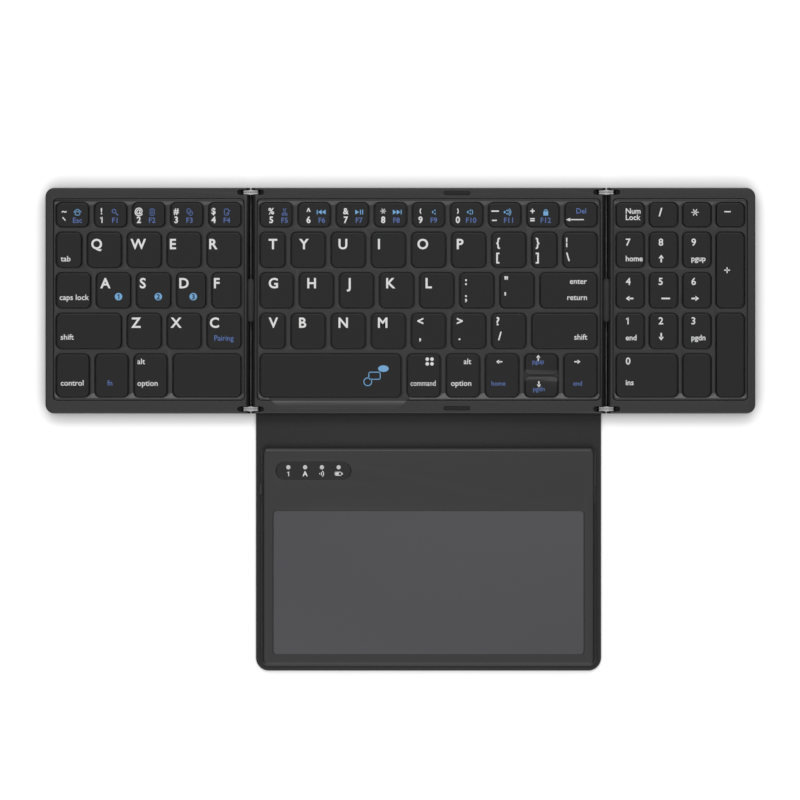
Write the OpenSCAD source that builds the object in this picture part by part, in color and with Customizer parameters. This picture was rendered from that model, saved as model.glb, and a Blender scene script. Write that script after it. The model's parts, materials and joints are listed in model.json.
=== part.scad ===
// Tri-fold travel keyboard with a touchpad flap.
// A middle section carries two folding wings on double-pivot metal links and, along
// its front edge, a leather spine and flap that hold a slim touchpad housing.
// Origin: centre of the middle section's underside. +X right, +Y rear, +Z up.

/* [Keys] */
// Pitch of the letter keys, left to right
key_pitch = 18.65; // [17.5:0.05:19.5]
// Gap between neighbouring keycaps
key_gap = 2.95; // [2.3:0.05:3.4]
// Gap between neighbouring keycaps of the number pad
pad_gap = 2.6; // [2:0.05:3]
// Depth of the keys in the rear function row
function_key_d = 10.85; // [9.5:0.05:12.5]
// Depth of a letter key
letter_key_d = 15.9; // [14.5:0.05:17.5]
// Depth of the keys in the front row
front_key_d = 19.6; // [18:0.05:21]
// Gap between the two half-depth arrow keys
half_key_gap = 0.9; // [0.6:0.05:1]
// How far the half-depth arrow keys slope down towards each other
half_key_slope = 2.4; // [1:0.1:3]
// How far their slopes drop at the edge
half_key_drop = 0.85; // [0.3:0.05:0.9]
// Height of a keycap from skirt to top
keycap_h = 1.6; // [1.4:0.05:2]
// Corner radius of a keycap, seen from above
keycap_corner_r = 2.4; // [1.2:0.1:2.8]
// Bevel round the top of a keycap
keycap_bevel = 0.35; // [0.15:0.05:0.5]
// Skirt thickness of a keycap
keycap_wall = 1.0; // [0.8:0.05:1.3]
// Roof thickness of a keycap
keycap_roof = 0.9; // [0.7:0.05:1.1]
// How far a key travels when pressed
key_travel = 1.3; // [1:0.05:1.5]
// Room left under a keycap's skirt when it is pressed
bottoming_room = 0.5; // [0.3:0.05:0.8]
// Key widths above this have two switches
two_switch_w = 50; // [40:1:60]

/* [Row layout, in key pitches] */
// Width of the middle section's key field
main_units = 8.55; // [8.4:0.01:8.8]
// Width of the left wing's key field
left_units = 4.755; // [4.65:0.005:4.9]
// Width of the narrow keys at the row ends
narrow_units = 0.775; // [0.72:0.005:0.85]
// Width of the first letter key of the middle home row
home_units = 0.98; // [0.9:0.01:1]
// Width of the middle section's space bar
space_units = 3.665; // [3.4:0.005:3.8]
// Width of the front-row modifier keys of the left wing
modifier_units = 0.97; // [0.9:0.01:1]

/* [Key field] */
// Margin of the key web beside the outer keys
web_margin_x = 1.3; // [1:0.05:1.6]
// Margin of the key web behind the rear row
web_margin_rear = 1.9; // [1.5:0.05:2.2]
// Margin of the key web in front of the front row
web_margin_front = 1.65; // [1.5:0.05:2.2]
// Thickness of the key web
web_t = 0.8; // [0.6:0.05:1]
// How far the rim stands above the key web
web_drop = 1.0; // [0.8:0.05:1.2]
// How far the web reaches under the rim
web_ledge = 0.7; // [0.4:0.05:0.9]
// Clearance between a keycap and its opening in the web
key_clearance = 0.55; // [0.3:0.05:0.6]
// Outward lean of the recess wall above the web
recess_flare = 0.3; // [0.1:0.05:0.5]
// Depth of the slope along the web's rear edge
rear_rise_d = 2.3; // [1.5:0.1:3]
// Depth of the slope along the web's front edge
front_rise_d = 2.8; // [1.5:0.1:3]
// Width of the flat strip between each slope and the rim
rise_ledge = 0.5; // [0.3:0.05:0.8]
// Depth of that strip under the rim
rise_drop = 0.15; // [0.1:0.05:0.3]
// Corner radius of the recess
recess_corner_r = 1.7; // [1.2:0.1:2.5]

/* [Section housings] */
// Rim width along the folding edges
fold_rim = 2.95; // [2.7:0.05:3.6]
// Rim width along the wings' outer edges
outer_rim = 3.9; // [3.2:0.1:5]
// Rim width along the rear
rear_rim = 5.25; // [5:0.05:7.5]
// Rim width along the front
front_rim = 6.25; // [5.8:0.05:7.5]
// Corner radius of the wings' outer corners
wing_corner_r = 4.2; // [2.5:0.1:6]
// Bevel of the housings' top edges
housing_bevel = 0.5; // [0.2:0.05:0.7]
// Rim height above the keycaps
rim_over_keys = 0.1; // [0.05:0.05:0.3]
// Floor thickness of the housings
floor_t = 0.8; // [0.6:0.05:1]
// Thickness of the steel key plate
plate_t = 0.3; // [0.2:0.05:0.4]
// Thickness of the membrane
membrane_t = 0.2; // [0.15:0.05:0.3]
// Clearance round the plate and the membrane
plate_clearance = 0.2; // [0.1:0.05:0.3]
// Clearance round the web in its seat
web_clearance = 0.05; // [0.02:0.01:0.1]

/* [Fold] */
// Gap between two sections at a fold
fold_gap = 0.5; // [0.45:0.05:0.7]
// Radius of the rounded folding edges, centred on the pivots
fold_r = 2.6; // [2.4:0.05:2.8]
// Gap between the outer edges of the folded wings
meeting_gap = 0.9; // [0.6:0.1:2]
// End radius of a hinge link
link_end_r = 1.5; // [1.3:0.05:1.6]
// Width of a hinge link along the fold
link_w = 2.2; // [1.8:0.1:2.4]
// Width of the groove that runs round a link
link_groove_w = 0.6; // [0.4:0.05:0.8]
// Depth of the groove that runs round a link
link_groove_depth = 0.4; // [0.2:0.05:0.5]
// Distance of a link's middle from the front or rear face
link_inset = 2.1; // [1.95:0.05:2.3]
// Clearance between a link and the sides of its pocket
link_side_clearance = 0.15; // [0.1:0.05:0.2]
// Clearance between a link and the floor of its pocket
link_floor_clearance = 0.2; // [0.1:0.05:0.25]
// How far a pocket reaches past the pivot
pocket_reach = 3.3; // [3:0.1:4]
// Radius of a hinge pin
pin_r = 0.5; // [0.4:0.05:0.6]
// Radial running clearance of a link on its pin
pin_running_clearance = 0.05; // [0.02:0.01:0.08]
// Radial clearance of a pin in the housing
pin_seat_clearance = 0.01; // [0.005:0.005:0.02]
// How far a pin is held in the outer wall of its pocket
pin_outer_hold = 0.5; // [0.3:0.05:0.6]
// How far a pin is held in the inner wall of its pocket
pin_inner_hold = 1.2; // [0.6:0.1:1.5]
// Length of the flexible bridge along the fold
bridge_l = 20.5; // [14:0.5:30]
// Thickness of the flexible bridge
bridge_t = 0.8; // [0.5:0.05:1]
// How far the folding edges are cut back above the bridge
bridge_cutback = 1.2; // [0.6:0.1:1.6]
// How far the bridge reaches past the pivots into the housings
bridge_anchor = 0.8; // [0.4:0.1:1.2]
// Distance of the bridge's middle from the section's middle, towards the rear
bridge_y = 0.3; // [-5:0.1:5]
// Clearance round the bridge in its slots
bridge_clearance = 0.15; // [0.1:0.05:0.25]

/* [Small parts] */
// Length of a bumper pad
bumper_l = 12.2; // [8:0.1:16]
// Width of a bumper pad
bumper_w = 1.8; // [1.4:0.1:2.4]
// How far a bumper pad is sunk into the rim
bumper_sink = 0.6; // [0.4:0.05:0.8]
// How far a bumper pad stands above the rim
bumper_proud = 0.3; // [0.1:0.05:0.4]
// Distance from the front or rear edge to the middle of a pad
bumper_inset = 2.5; // [2:0.1:3.2]
// Length of a wing foot
foot_l = 34; // [20:1:45]
// Width of a wing foot
foot_w = 5; // [3:0.5:8]
// Bevel of a wing foot's lower edge
foot_bevel = 0.3; // [0.1:0.05:0.4]
// Distance of a wing foot's middle from the front or rear face
foot_inset = 8; // [6:0.5:14]
// Shank radius of a housing screw
screw_r = 0.5; // [0.4:0.05:0.6]
// Head radius of a housing screw
screw_head_r = 1.1; // [0.9:0.05:1.2]
// Head height of a housing screw
screw_head_h = 0.45; // [0.3:0.05:0.6]
// Reach of a housing screw into the top cover
screw_reach = 1.2; // [0.8:0.1:1.6]
// Radial clearance of a screw in its hole
screw_clearance = 0.04; // [0.02:0.01:0.1]
// Spacing of the housing screws
screw_pitch = 55; // [45:1:60]
// Width of the thumb ramp in front of the space bar
ramp_w = 56.3; // [45:0.5:62]
// Depth of the thumb ramp
ramp_d = 2.9; // [2:0.1:3.5]
// Level shelf between the recess and the ramp
ramp_shelf = 0.3; // [0.1:0.1:1.2]
// Distance from the space bar's left end to the thumb ramp
ramp_left_margin = 8.5; // [5:0.5:12]

/* [Scissor switches] */
// Width of the outer scissor frame
scissor_w = 9.2; // [8.4:0.1:9.4]
// Largest length of a scissor frame
scissor_l = 8.4; // [7.5:0.1:9]
// Width of a scissor frame's bars
scissor_bar_w = 0.8; // [0.6:0.05:0.9]
// Room between a scissor frame's ends and the keycap's skirt, both ends together
scissor_end_room = 1; // [0.6:0.1:2]
// Thickness of a scissor frame's bars
scissor_bar_t = 0.4; // [0.3:0.05:0.5]
// Clearance of the scissor frames from each other, the roof and the membrane
scissor_clearance = 0.1; // [0.05:0.05:0.15]
// Base radius of a rubber dome
dome_base_r = 2.2; // [1.8:0.1:2.3]
// Top radius of a rubber dome
dome_top_r = 1.3; // [1:0.1:1.6]

/* [Leather cover] */
// Thickness of the leather cover
leather_t = 0.8; // [0.6:0.05:1.2]
// Distance from the middle section's ends to the leather's edges
leather_side_margin = 2.1; // [1.5:0.1:6]
// Distance between a crease line and the pieces on either side
crease_clearance = 0.5; // [0.45:0.05:0.6]
// Margin of the leather behind the middle section's rear edge
leather_rear_margin = 1.0; // [0.5:0.1:3]
// Leather left in front of the touchpad housing
leather_front_margin = 2.4; // [1:0.1:4]
// Radius of the flap's front corners
flap_corner_r = 6; // [4:0.5:9]
// Radius of the flap's corners at the spine
flap_rear_corner_r = 0.9; // [0.5:0.1:1.5]
// Clearance between the layers of the closed keyboard
stack_clearance = 0.1; // [0.1:0.05:0.3]

/* [Touchpad housing] */
// Leather left at the sides of the touchpad housing
housing_side_margin = 2.6; // [1.5:0.1:5]
// Depth of the touchpad housing
housing_d = 101.4; // [98:0.2:103]
// Height of the touchpad housing
housing_h = 3.2; // [3:0.05:3.6]
// Corner radius of the touchpad housing
housing_corner_r = 3; // [2:0.1:4]
// Width of the bevel round the housing's top
housing_bevel_w = 1.3; // [0.8:0.1:1.8]
// Height of the bevel round the housing's top
housing_bevel_h = 1.0; // [0.6:0.05:1.2]
// Bevel round the housing's bottom edge
tray_bevel = 0.3; // [0.1:0.05:0.4]
// Wall thickness of the touchpad housing
housing_wall = 1.0; // [0.8:0.05:1.3]
// Floor thickness of the touchpad housing
housing_floor_t = 0.5; // [0.4:0.05:0.6]
// Roof thickness of the touchpad housing
housing_roof_t = 0.6; // [0.5:0.05:0.7]
// Distance from the touch surface to the housing's side faces
touch_side_margin = 5.6; // [4.5:0.1:9]
// Distance from the touch surface to the housing's rear face
touch_rear_margin = 29.3; // [28.5:0.1:34]
// Distance from the touch surface to the housing's front face
touch_front_margin = 5.3; // [4.8:0.1:7]
// Corner radius of the touch surface
touch_corner_r = 1.6; // [1:0.1:3]
// Gap round the touch surface
touch_gap = 0.15; // [0.1:0.05:0.25]
// How far the touch surface lies below the housing's top
touch_sink = 0.05; // [0.02:0.01:0.1]
// Thickness of the touch surface
touch_t = 0.75; // [0.7:0.05:0.8]
// Thickness of the circuit board
board_t = 0.6; // [0.5:0.05:0.7]
// How far the circuit board reaches past the touch surface
board_margin = 1; // [0.5:0.1:1.4]
// Radius of the posts under the circuit board
post_r = 1.5; // [1:0.1:2]
// Length of the indicator window
window_l = 34.7; // [32:0.1:38]
// Width of the indicator window
window_w = 8.6; // [7.5:0.1:9.5]
// Distance from the indicator window's middle to the housing's rear face
window_inset = 10.6; // [9.5:0.1:12]
// Distance from the indicator window's left end to the housing's left face
window_side = 6.9; // [6:0.1:9]
// Thickness of the indicator window
window_t = 0.45; // [0.35:0.05:0.5]
// Spacing of the indicator lights
led_pitch = 7.8; // [7:0.1:8.5]
// Radius of an indicator light
led_r = 1.0; // [0.7:0.05:1.2]
// Offset of the indicator lights behind the window's middle
led_offset = 1.6; // [1:0.1:2]

/* [Touchpad fittings] */
// Length of the battery
battery_l = 58; // [40:1:62]
// Width of the battery
battery_w = 21; // [15:0.5:22]
// Thickness of the battery
battery_t = 1.7; // [1.4:0.05:1.8]
// Gap between the battery and the housing's rear wall
battery_gap = 2; // [1:0.1:3]
// Length of a closing magnet
magnet_l = 15; // [8:0.5:20]
// Width of a closing magnet
magnet_w = 2.6; // [2:0.1:2.8]
// Thickness of a closing magnet
magnet_t = 1.2; // [0.8:0.1:1.3]
// Width of the charging port's shell
port_w = 7.6; // [7:0.1:8.4]
// Height of the charging port's shell
port_h = 1.9; // [1.7:0.05:2]
// Depth of the charging port's shell
port_d = 5; // [4:0.1:6]
// Wall thickness of the charging port's shell
port_wall = 0.2; // [0.15:0.05:0.25]
// Distance from the charging port's middle to the housing's rear face
port_inset = 21.5; // [18:0.5:26]
// Clearance round the charging port in the housing wall
port_clearance = 0.1; // [0.05:0.05:0.15]
// Depth of the port's mouth inside the housing's side
port_recess = 0.9; // [0.5:0.05:0.95]
// Length of the power switch's slot
switch_slot_l = 7.9; // [7:0.1:9]
// Height of the power switch's slot
switch_slot_h = 1.2; // [1:0.05:1.3]
// Travel of the power switch
switch_travel = 2.5; // [2:0.1:3]
// How far the power switch stands out of the housing
switch_proud = 0.8; // [0.5:0.05:1.1]
// Clearance between the power switch and its slot
switch_clearance = 0.15; // [0.1:0.05:0.2]
// Distance from the slot's middle to the housing's rear face
switch_inset = 20.3; // [18:0.1:24]
// Thickness of the flange that keeps the power switch in
switch_flange_t = 0.6; // [0.4:0.05:0.8]

/* [Hidden] */
$fn = 48;

// Overrun of cutting shapes past the face that they cut
cut = 1;
// Flat left between two rounded corners that make a half-round end
end_flat = 0.02;

// Heights, from the table upwards
deck_z = leather_t;
floor_z = deck_z + floor_t;
plate_z = floor_z + plate_t;
membrane_z = plate_z + membrane_t;
keycap_z = membrane_z + bottoming_room + key_travel;
keycap_top_z = keycap_z + keycap_h;
roof_z = keycap_top_z - keycap_roof;
rim_z = keycap_top_z + rim_over_keys;
web_z = rim_z - web_drop;
pivot_z = rim_z - fold_r;
pocket_floor_z = pivot_z - link_end_r - link_floor_clearance;

// Depths, all sections alike
letter_row_pitch = letter_key_d + key_gap;
field_d = function_key_d + 3 * letter_row_pitch + key_gap + front_key_d;
section_d = rear_rim + web_margin_rear + field_d + web_margin_front + front_rim;
rear_y = section_d / 2;
front_y = -section_d / 2;
field_rear_y = rear_y - rear_rim - web_margin_rear;
field_front_y = front_y + front_rim + web_margin_front;
row_4_y = field_front_y + front_key_d + key_gap;
row_3_y = row_4_y + letter_row_pitch;
row_2_y = row_3_y + letter_row_pitch;
row_1_y = row_2_y + letter_row_pitch;

// Widths: the wings meet over the middle section when they are folded
fold_margin = fold_rim + web_margin_x;
outer_margin = outer_rim + web_margin_x;
main_field_w = main_units * key_pitch - key_gap;
main_w = main_field_w + 2 * fold_margin;
left_field_w = left_units * key_pitch - key_gap;
left_w = left_field_w + fold_margin + outer_margin;
right_w = main_w - left_w - meeting_gap;
right_field_w = right_w - fold_margin - outer_margin;
pad_pitch = (right_field_w + pad_gap) / 4;
main_right_x = main_w / 2;
main_left_x = -main_right_x;
left_wing_x = main_left_x - fold_gap;
right_wing_x = main_right_x + fold_gap;
meeting_x = main_left_x + left_w + meeting_gap / 2;

// A section is [left end, right end, folds at its left end, folds at its right end,
// left end of its key field, right end of its key field]
main_section = [
  main_left_x, main_right_x, true, true,
  main_left_x + fold_margin, main_right_x - fold_margin
];
left_section = [
  left_wing_x - left_w, left_wing_x, false, true,
  left_wing_x - left_w + outer_margin, left_wing_x - fold_margin
];
right_section = [
  right_wing_x, right_wing_x + right_w, true, false,
  right_wing_x + fold_margin, right_wing_x + right_w - outer_margin
];

// Double-pivot hinge
link_pitch = 2 * fold_r + fold_gap;
link_y = rear_y - link_inset;
pocket_w = link_w + 2 * link_side_clearance;
main_pivot_x = main_right_x - fold_r;
wing_pivot_x = right_wing_x + fold_r;

// Screws, bumper pads and the thumb ramp lie in the rims
screw_y = rear_y - (rear_rim - web_ledge) / 2;
screw_spots = [for (i = [-1, 0, 1], side = [-1, 1]) [i * screw_pitch, side * screw_y, 0]];
bumper_y = rear_y - bumper_inset;
ramp_x = main_left_x + fold_margin + ramp_left_margin + ramp_w / 2;

// Leather and touchpad housing, with the spine as high as the folded stack
leather_w = main_w - 2 * leather_side_margin;
housing_w = leather_w - 2 * housing_side_margin;
touch_w = housing_w - 2 * touch_side_margin;
touch_d = housing_d - touch_front_margin - touch_rear_margin;
crease_z = leather_t / 2;
crease_y = front_y - crease_clearance;
housing_top_z = deck_z + housing_h;
folded_z = 2 * pivot_z + link_pitch;
spine_l = folded_z + stack_clearance + housing_top_z - leather_t;
flap_crease_y = crease_y - spine_l;
flap_rear_y = flap_crease_y - crease_clearance;
flap_d = housing_d + leather_front_margin;
housing_y = flap_rear_y - housing_d / 2;
housing_front_y = flap_rear_y - housing_d;
tray_z = deck_z + housing_h / 2;
tray_floor_z = deck_z + housing_floor_t;
bezel_roof_z = housing_top_z - housing_roof_t;
touch_y = housing_front_y + touch_front_margin + touch_d / 2;
touch_z = housing_top_z - touch_sink - touch_t;
board_z = touch_z - board_t;
window_x = -housing_w / 2 + window_side + window_l / 2;
window_y = flap_rear_y - window_inset;
window_z = housing_top_z - touch_sink - window_t;
board_tail_front_y = touch_y + touch_d / 2;
port_y = flap_rear_y - port_inset;
port_z = tray_z - port_h / 2;
switch_y = flap_rear_y - switch_inset;
switch_knob_l = switch_slot_l - switch_travel - 2 * switch_clearance;
switch_knob_y = switch_y + switch_travel / 2;
magnet_x = (housing_w / 2 - housing_wall + touch_w / 2 + board_margin) / 2;

// Key rows, as widths in key pitches
function sum(list, n) = n <= 0 ? 0 : list[n - 1] + sum(list, n - 1);
function filled(list, whole) = concat(list, [whole - sum(list, len(list))]);
function equal(n, whole) = [for (i = [1:n]) whole / n];
letters = [1, 1, 1, 1, 1, 1];
main_front_units = (main_units - space_units) / 5;
main_units_1 = equal(9, main_units);
main_units_2 = filled(concat([narrow_units], letters, [narrow_units]), main_units);
main_units_3 = filled(concat([home_units], letters), main_units);
main_units_4 = filled(concat([narrow_units], letters), main_units);
main_units_5 = concat([space_units], equal(5, 5 * main_front_units));
left_units_1 = equal(5, left_units);
left_units_2 = concat([narrow_units], equal(4, left_units - narrow_units));
left_units_3 = concat([1, 1, 1], equal(2, left_units - 3));
left_letter_units = (left_units - narrow_units) / 4;
left_units_4 = concat([left_units - 3 * left_letter_units], equal(3, 3 * left_letter_units));
left_units_5 = filled([modifier_units, modifier_units, modifier_units], left_units);

// A key is [left, front, width, depth]
function key_row(units, pitch, gap, x, y, d) =
  [for (i = [0:len(units) - 1]) [x + pitch * sum(units, i), y, pitch * units[i] - gap, d]];
function main_row(units, y, d) = key_row(units, key_pitch, key_gap, main_section[4], y, d);
function left_row(units, y, d) = key_row(units, key_pitch, key_gap, left_section[4], y, d);
function pad_row(units, y, d) = key_row(units, pad_pitch, pad_gap, right_section[4], y, d);
function pad_tall_key(y, d) = [right_section[4] + 3 * pad_pitch, y, pad_pitch - pad_gap, d];

half_key_d = (front_key_d - half_key_gap) / 2;
main_front_keys = main_row(main_units_5, field_front_y, front_key_d);
arrow_key = main_front_keys[4];
up_key = [arrow_key[0], arrow_key[1] + half_key_d + half_key_gap, arrow_key[2], half_key_d];
down_key = [arrow_key[0], arrow_key[1], arrow_key[2], half_key_d];
main_whole_front_keys = [for (i = [0, 1, 2, 3, 5]) main_front_keys[i]];
main_keys = [
  main_row(main_units_1, row_1_y, function_key_d),
  main_row(main_units_2, row_2_y, letter_key_d),
  main_row(main_units_3, row_3_y, letter_key_d),
  main_row(main_units_4, row_4_y, letter_key_d),
  concat(main_whole_front_keys, [up_key, down_key])
];
// The up and down keys share one opening
main_openings = concat([for (i = [0:3]) main_keys[i]], [main_front_keys]);
left_keys = [
  left_row(left_units_1, row_1_y, function_key_d),
  left_row(left_units_2, row_2_y, letter_key_d),
  left_row(left_units_3, row_3_y, letter_key_d),
  left_row(left_units_4, row_4_y, letter_key_d),
  left_row(left_units_5, field_front_y, front_key_d)
];
right_keys = [
  pad_row([1, 1, 1, 1], row_1_y, function_key_d),
  concat(pad_row([1, 1, 1], row_2_y, letter_key_d),
    [pad_tall_key(row_3_y, letter_row_pitch + letter_key_d)]),
  pad_row([1, 1, 1], row_3_y, letter_key_d),
  concat(pad_row([1, 1, 1], row_4_y, letter_key_d),
    [pad_tall_key(field_front_y, front_key_d + key_gap + letter_key_d)]),
  pad_row([2, 1], field_front_y, front_key_d)
];

// ---- shared shapes ----

// A flat outline in X and Z, extruded along Y
module along_y(y_low, y_high) {
  translate([0, y_high, 0]) rotate([90, 0, 0]) linear_extrude(y_high - y_low) children();
}

// A flat outline in Y and Z, extruded along X
module along_x(x_low, x_high) {
  translate([x_low, 0, 0]) rotate([90, 0, 90]) linear_extrude(x_high - x_low) children();
}

// A rod along Y
module rod(r, x, z, y_low, y_high) {
  translate([x, y_high, z]) rotate([90, 0, 0]) cylinder(h = y_high - y_low, r = r);
}

// Side profile of a slab: edge is a list of [inset, height], from the bottom up
module edge_profile(w, edge) {
  n = len(edge);
  polygon(concat(
    [for (p = edge) [-w / 2 + p[0], p[1]]],
    [for (i = [n - 1:-1:0]) [w / 2 - edge[i][0], edge[i][1]]]
  ));
}

// A slab w by d with corner radius r whose sides follow an edge profile all round
module slab(w, d, r, edge) {
  bottom = edge[0][1];
  top = edge[len(edge) - 1][1];
  along_x(-w / 2 + r, w / 2 - r) edge_profile(d, edge);
  along_y(-d / 2 + r, d / 2 - r) edge_profile(w, edge);
  for (sx = [-1, 1], sy = [-1, 1]) {
    translate([sx * (w / 2 - r), sy * (d / 2 - r), 0]) rotate_extrude()
      polygon(concat([[0, bottom]], [for (p = edge) [r - p[0], p[1]]], [[0, top]]));
  }
}

// The same slab, given by two corners
module slab_between(x_low, x_high, y_low, y_high, r, edge) {
  translate([(x_low + x_high) / 2, (y_low + y_high) / 2, 0])
    slab(x_high - x_low, y_high - y_low, r, edge);
}

// A slab that covers a section's key field and the web's margins, grown by grow
module field_slab(section, grow, edge) {
  slab_between(
    section[4] - web_margin_x - grow, section[5] + web_margin_x + grow,
    field_front_y - web_margin_front - grow, field_rear_y + web_margin_rear + grow,
    recess_corner_r + grow, edge
  );
}

// ---- sections ----

// Half of a section's end view: the rounded nose of a folding edge at x
module fold_nose(x, inward) {
  translate([x + inward * fold_r, pivot_z]) circle(fold_r);
  translate([min(x, x + inward * fold_r), deck_z]) square([fold_r, pivot_z - deck_z]);
}

// A section's whole outer form
module section_form(section) {
  reach = 2 * wing_corner_r;
  low = section[2] ? section[0] - reach : section[0];
  high = section[3] ? section[1] + reach : section[1];
  flat_low = section[2] ? section[0] + fold_r : low - cut;
  flat_high = section[3] ? section[1] - fold_r : high + cut;
  intersection() {
    slab_between(low, high, front_y, rear_y, wing_corner_r,
      [[0, deck_z], [0, rim_z - housing_bevel], [housing_bevel, rim_z]]);
    along_y(front_y - cut, rear_y + cut) {
      translate([flat_low, deck_z]) square([flat_high - flat_low, rim_z - deck_z]);
      if (section[2]) fold_nose(section[0], 1);
      if (section[3]) fold_nose(section[1], -1);
    }
  }
}

// The part of a section's form between two heights
module section_layer(section, z_low, z_high) {
  intersection() {
    section_form(section);
    translate([section[0] - cut, front_y - cut, z_low])
      cube([section[1] - section[0] + 2 * cut, section_d + 2 * cut, z_high - z_low]);
  }
}

// What both shells lose at one folding edge: link pockets, pin seats, bridge slot
module fold_cuts(x, inward) {
  pivot_x = x + inward * fold_r;
  end_x = pivot_x + inward * (pocket_reach - pocket_w / 2);
  for (side = [-1, 1]) {
    pocket_y = side * link_y;
    translate([min(x - inward * cut, end_x), pocket_y - pocket_w / 2, pocket_floor_z])
      cube([abs(end_x - x) + cut, pocket_w, rim_z - pocket_floor_z + cut]);
    translate([end_x, pocket_y, pocket_floor_z])
      cylinder(h = rim_z - pocket_floor_z + cut, r = pocket_w / 2);
    pin_span(side, pivot_x, pin_r + pin_seat_clearance, pin_seat_clearance);
  }
  slot_end_x = pivot_x + inward * (bridge_anchor + bridge_clearance);
  slot_h = bridge_t + 2 * bridge_clearance;
  slot_l = bridge_l + 2 * bridge_clearance;
  translate([min(x - inward * cut, slot_end_x), -slot_l / 2 + bridge_y, pivot_z - slot_h / 2])
    cube([abs(slot_end_x - x) + cut, slot_l, slot_h]);
  translate([min(x - inward * cut, x + inward * bridge_cutback), -slot_l / 2 + bridge_y,
    pivot_z - slot_h / 2])
    cube([bridge_cutback + cut, slot_l, rim_z - pivot_z + slot_h]);
}
// A hinge pin, or the seat that holds it
module pin_span(side, x, r, extra) {
  inner = link_y - pocket_w / 2 - pin_inner_hold - extra;
  outer = link_y + pocket_w / 2 + pin_outer_hold + extra;
  rod(r, x, pivot_z, side > 0 ? inner : -outer, side > 0 ? outer : -inner);
}

module section_fold_cuts(section) {
  if (section[2]) fold_cuts(section[0], 1);
  if (section[3]) fold_cuts(section[1], -1);
}

module bottom_shell(section) {
  difference() {
    section_layer(section, deck_z, pivot_z);
    field_slab(section, web_ledge, [[0, floor_z], [0, pivot_z + cut]]);
    section_fold_cuts(section);
  }
}

module top_cover(section) {
  lean = recess_flare / web_drop;
  difference() {
    section_layer(section, pivot_z, rim_z);
    field_slab(section, web_ledge, [[0, pivot_z - cut], [0, web_z]]);
    field_slab(section, 0, [[0, web_z - cut / 2], [0, web_z], [-lean * (web_drop + cut), rim_z + cut]]);
    section_fold_cuts(section);
  }
}

// The slope along the rear (side = 1) or front (-1) edge of the web
module web_rise(section, side, d) {
  wall_y = side > 0 ? field_rear_y + web_margin_rear : field_front_y - web_margin_front;
  ledge_y = wall_y - side * rise_ledge;
  foot_y = ledge_y - side * d;
  ledge_z = rim_z - rise_drop;
  intersection() {
    field_slab(section, -web_clearance, [[0, web_z - web_t / 2], [0, rim_z]]);
    along_x(section[4] - 2 * web_margin_x, section[5] + 2 * web_margin_x)
      polygon([[foot_y, web_z - web_t / 2], [foot_y, web_z], [ledge_y, ledge_z],
        [wall_y, ledge_z], [wall_y, web_z - web_t / 2]]);
  }
}

module key_web(section, rows) {
  difference() {
    union() {
      field_slab(section, web_ledge - web_clearance, [[0, web_z - web_t], [0, web_z]]);
      web_rise(section, 1, rear_rise_d);
      web_rise(section, -1, front_rise_d);
    }
    for (row = rows, key = row) {
      slab_between(
        key[0] - key_clearance, key[0] + key[2] + key_clearance,
        key[1] - key_clearance, key[1] + key[3] + key_clearance,
        keycap_corner_r + key_clearance, [[0, web_z - web_t - cut], [0, rim_z + cut]]
      );
    }
  }
}

module key_plate(section) {
  color("silver")
    field_slab(section, web_ledge - plate_clearance, [[0, floor_z], [0, plate_z]]);
}

module membrane(section) {
  color("#202224")
    field_slab(section, web_ledge - plate_clearance, [[0, plate_z], [0, membrane_z]]);
}

// ---- keys and their switches ----

module keycap(key) {
  inner_w = key[2] - 2 * keycap_wall;
  inner_d = key[3] - 2 * keycap_wall;
  translate([key[0] + key[2] / 2, key[1] + key[3] / 2, 0]) difference() {
    slab(key[2], key[3], keycap_corner_r,
      [[0, keycap_z], [0, keycap_top_z - keycap_bevel], [keycap_bevel, keycap_top_z]]);
    translate([-inner_w / 2, -inner_d / 2, keycap_z - cut])
      cube([inner_w, inner_d, roof_z - keycap_z + cut]);
  }
}

// A half-depth arrow key, which slopes down at its front (toward = -1) or rear (1)
module sloped_keycap(key, toward) {
  edge_y = toward > 0 ? key[1] + key[3] : key[1];
  start_y = edge_y - toward * half_key_slope;
  over_y = edge_y + toward * half_key_slope;
  difference() {
    keycap(key);
    along_x(key[0] - cut, key[0] + key[2] + cut)
      polygon([[start_y, keycap_top_z], [over_y, keycap_top_z - 2 * half_key_drop],
        [over_y, keycap_top_z + cut], [start_y, keycap_top_z + cut]]);
  }
}

module keycaps(row) {
  color("#2c2c2c") for (key = row) keycap(key);
}

// Middles of the switches under a key
function switch_spots(key) =
  [for (dx = key[2] > two_switch_w ? [-key[2] / 4, key[2] / 4] : [0])
    [key[0] + key[2] / 2 + dx, key[1] + key[3] / 2, 0]];

module rubber_domes(rows) {
  h = roof_z - scissor_clearance - membrane_z;
  color("gainsboro") for (row = rows, key = row, spot = switch_spots(key)) {
    translate(spot + [0, 0, membrane_z]) rotate_extrude()
      polygon([[0, 0], [dome_base_r, 0], [dome_base_r, h / 8], [dome_top_r, 3 * h / 4],
        [dome_top_r, h], [0, h]]);
  }
}

// One frame of a scissor switch, tilted about its middle
module scissor_frame(w, l, tilt) {
  rotate([tilt, 0, 0]) translate([0, 0, -scissor_bar_t / 2]) linear_extrude(scissor_bar_t)
    difference() {
      square([w, l], center = true);
      square([w - 2 * scissor_bar_w, l - 2 * scissor_bar_w], center = true);
    }
}

module scissors(rows) {
  room = roof_z - membrane_z;
  inner_w = scissor_w - 2 * (scissor_bar_w + scissor_clearance);
  color("whitesmoke") for (row = rows, key = row, spot = switch_spots(key)) {
    l = min(scissor_l, key[3] - 2 * keycap_wall - scissor_end_room);
    tilt = asin((room - scissor_bar_t - 2 * scissor_clearance) / l);
    translate(spot + [0, 0, membrane_z + room / 2]) {
      scissor_frame(scissor_w, l, tilt);
      scissor_frame(inner_w, l, -tilt);
    }
  }
}

// ---- hinge parts ----

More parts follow.
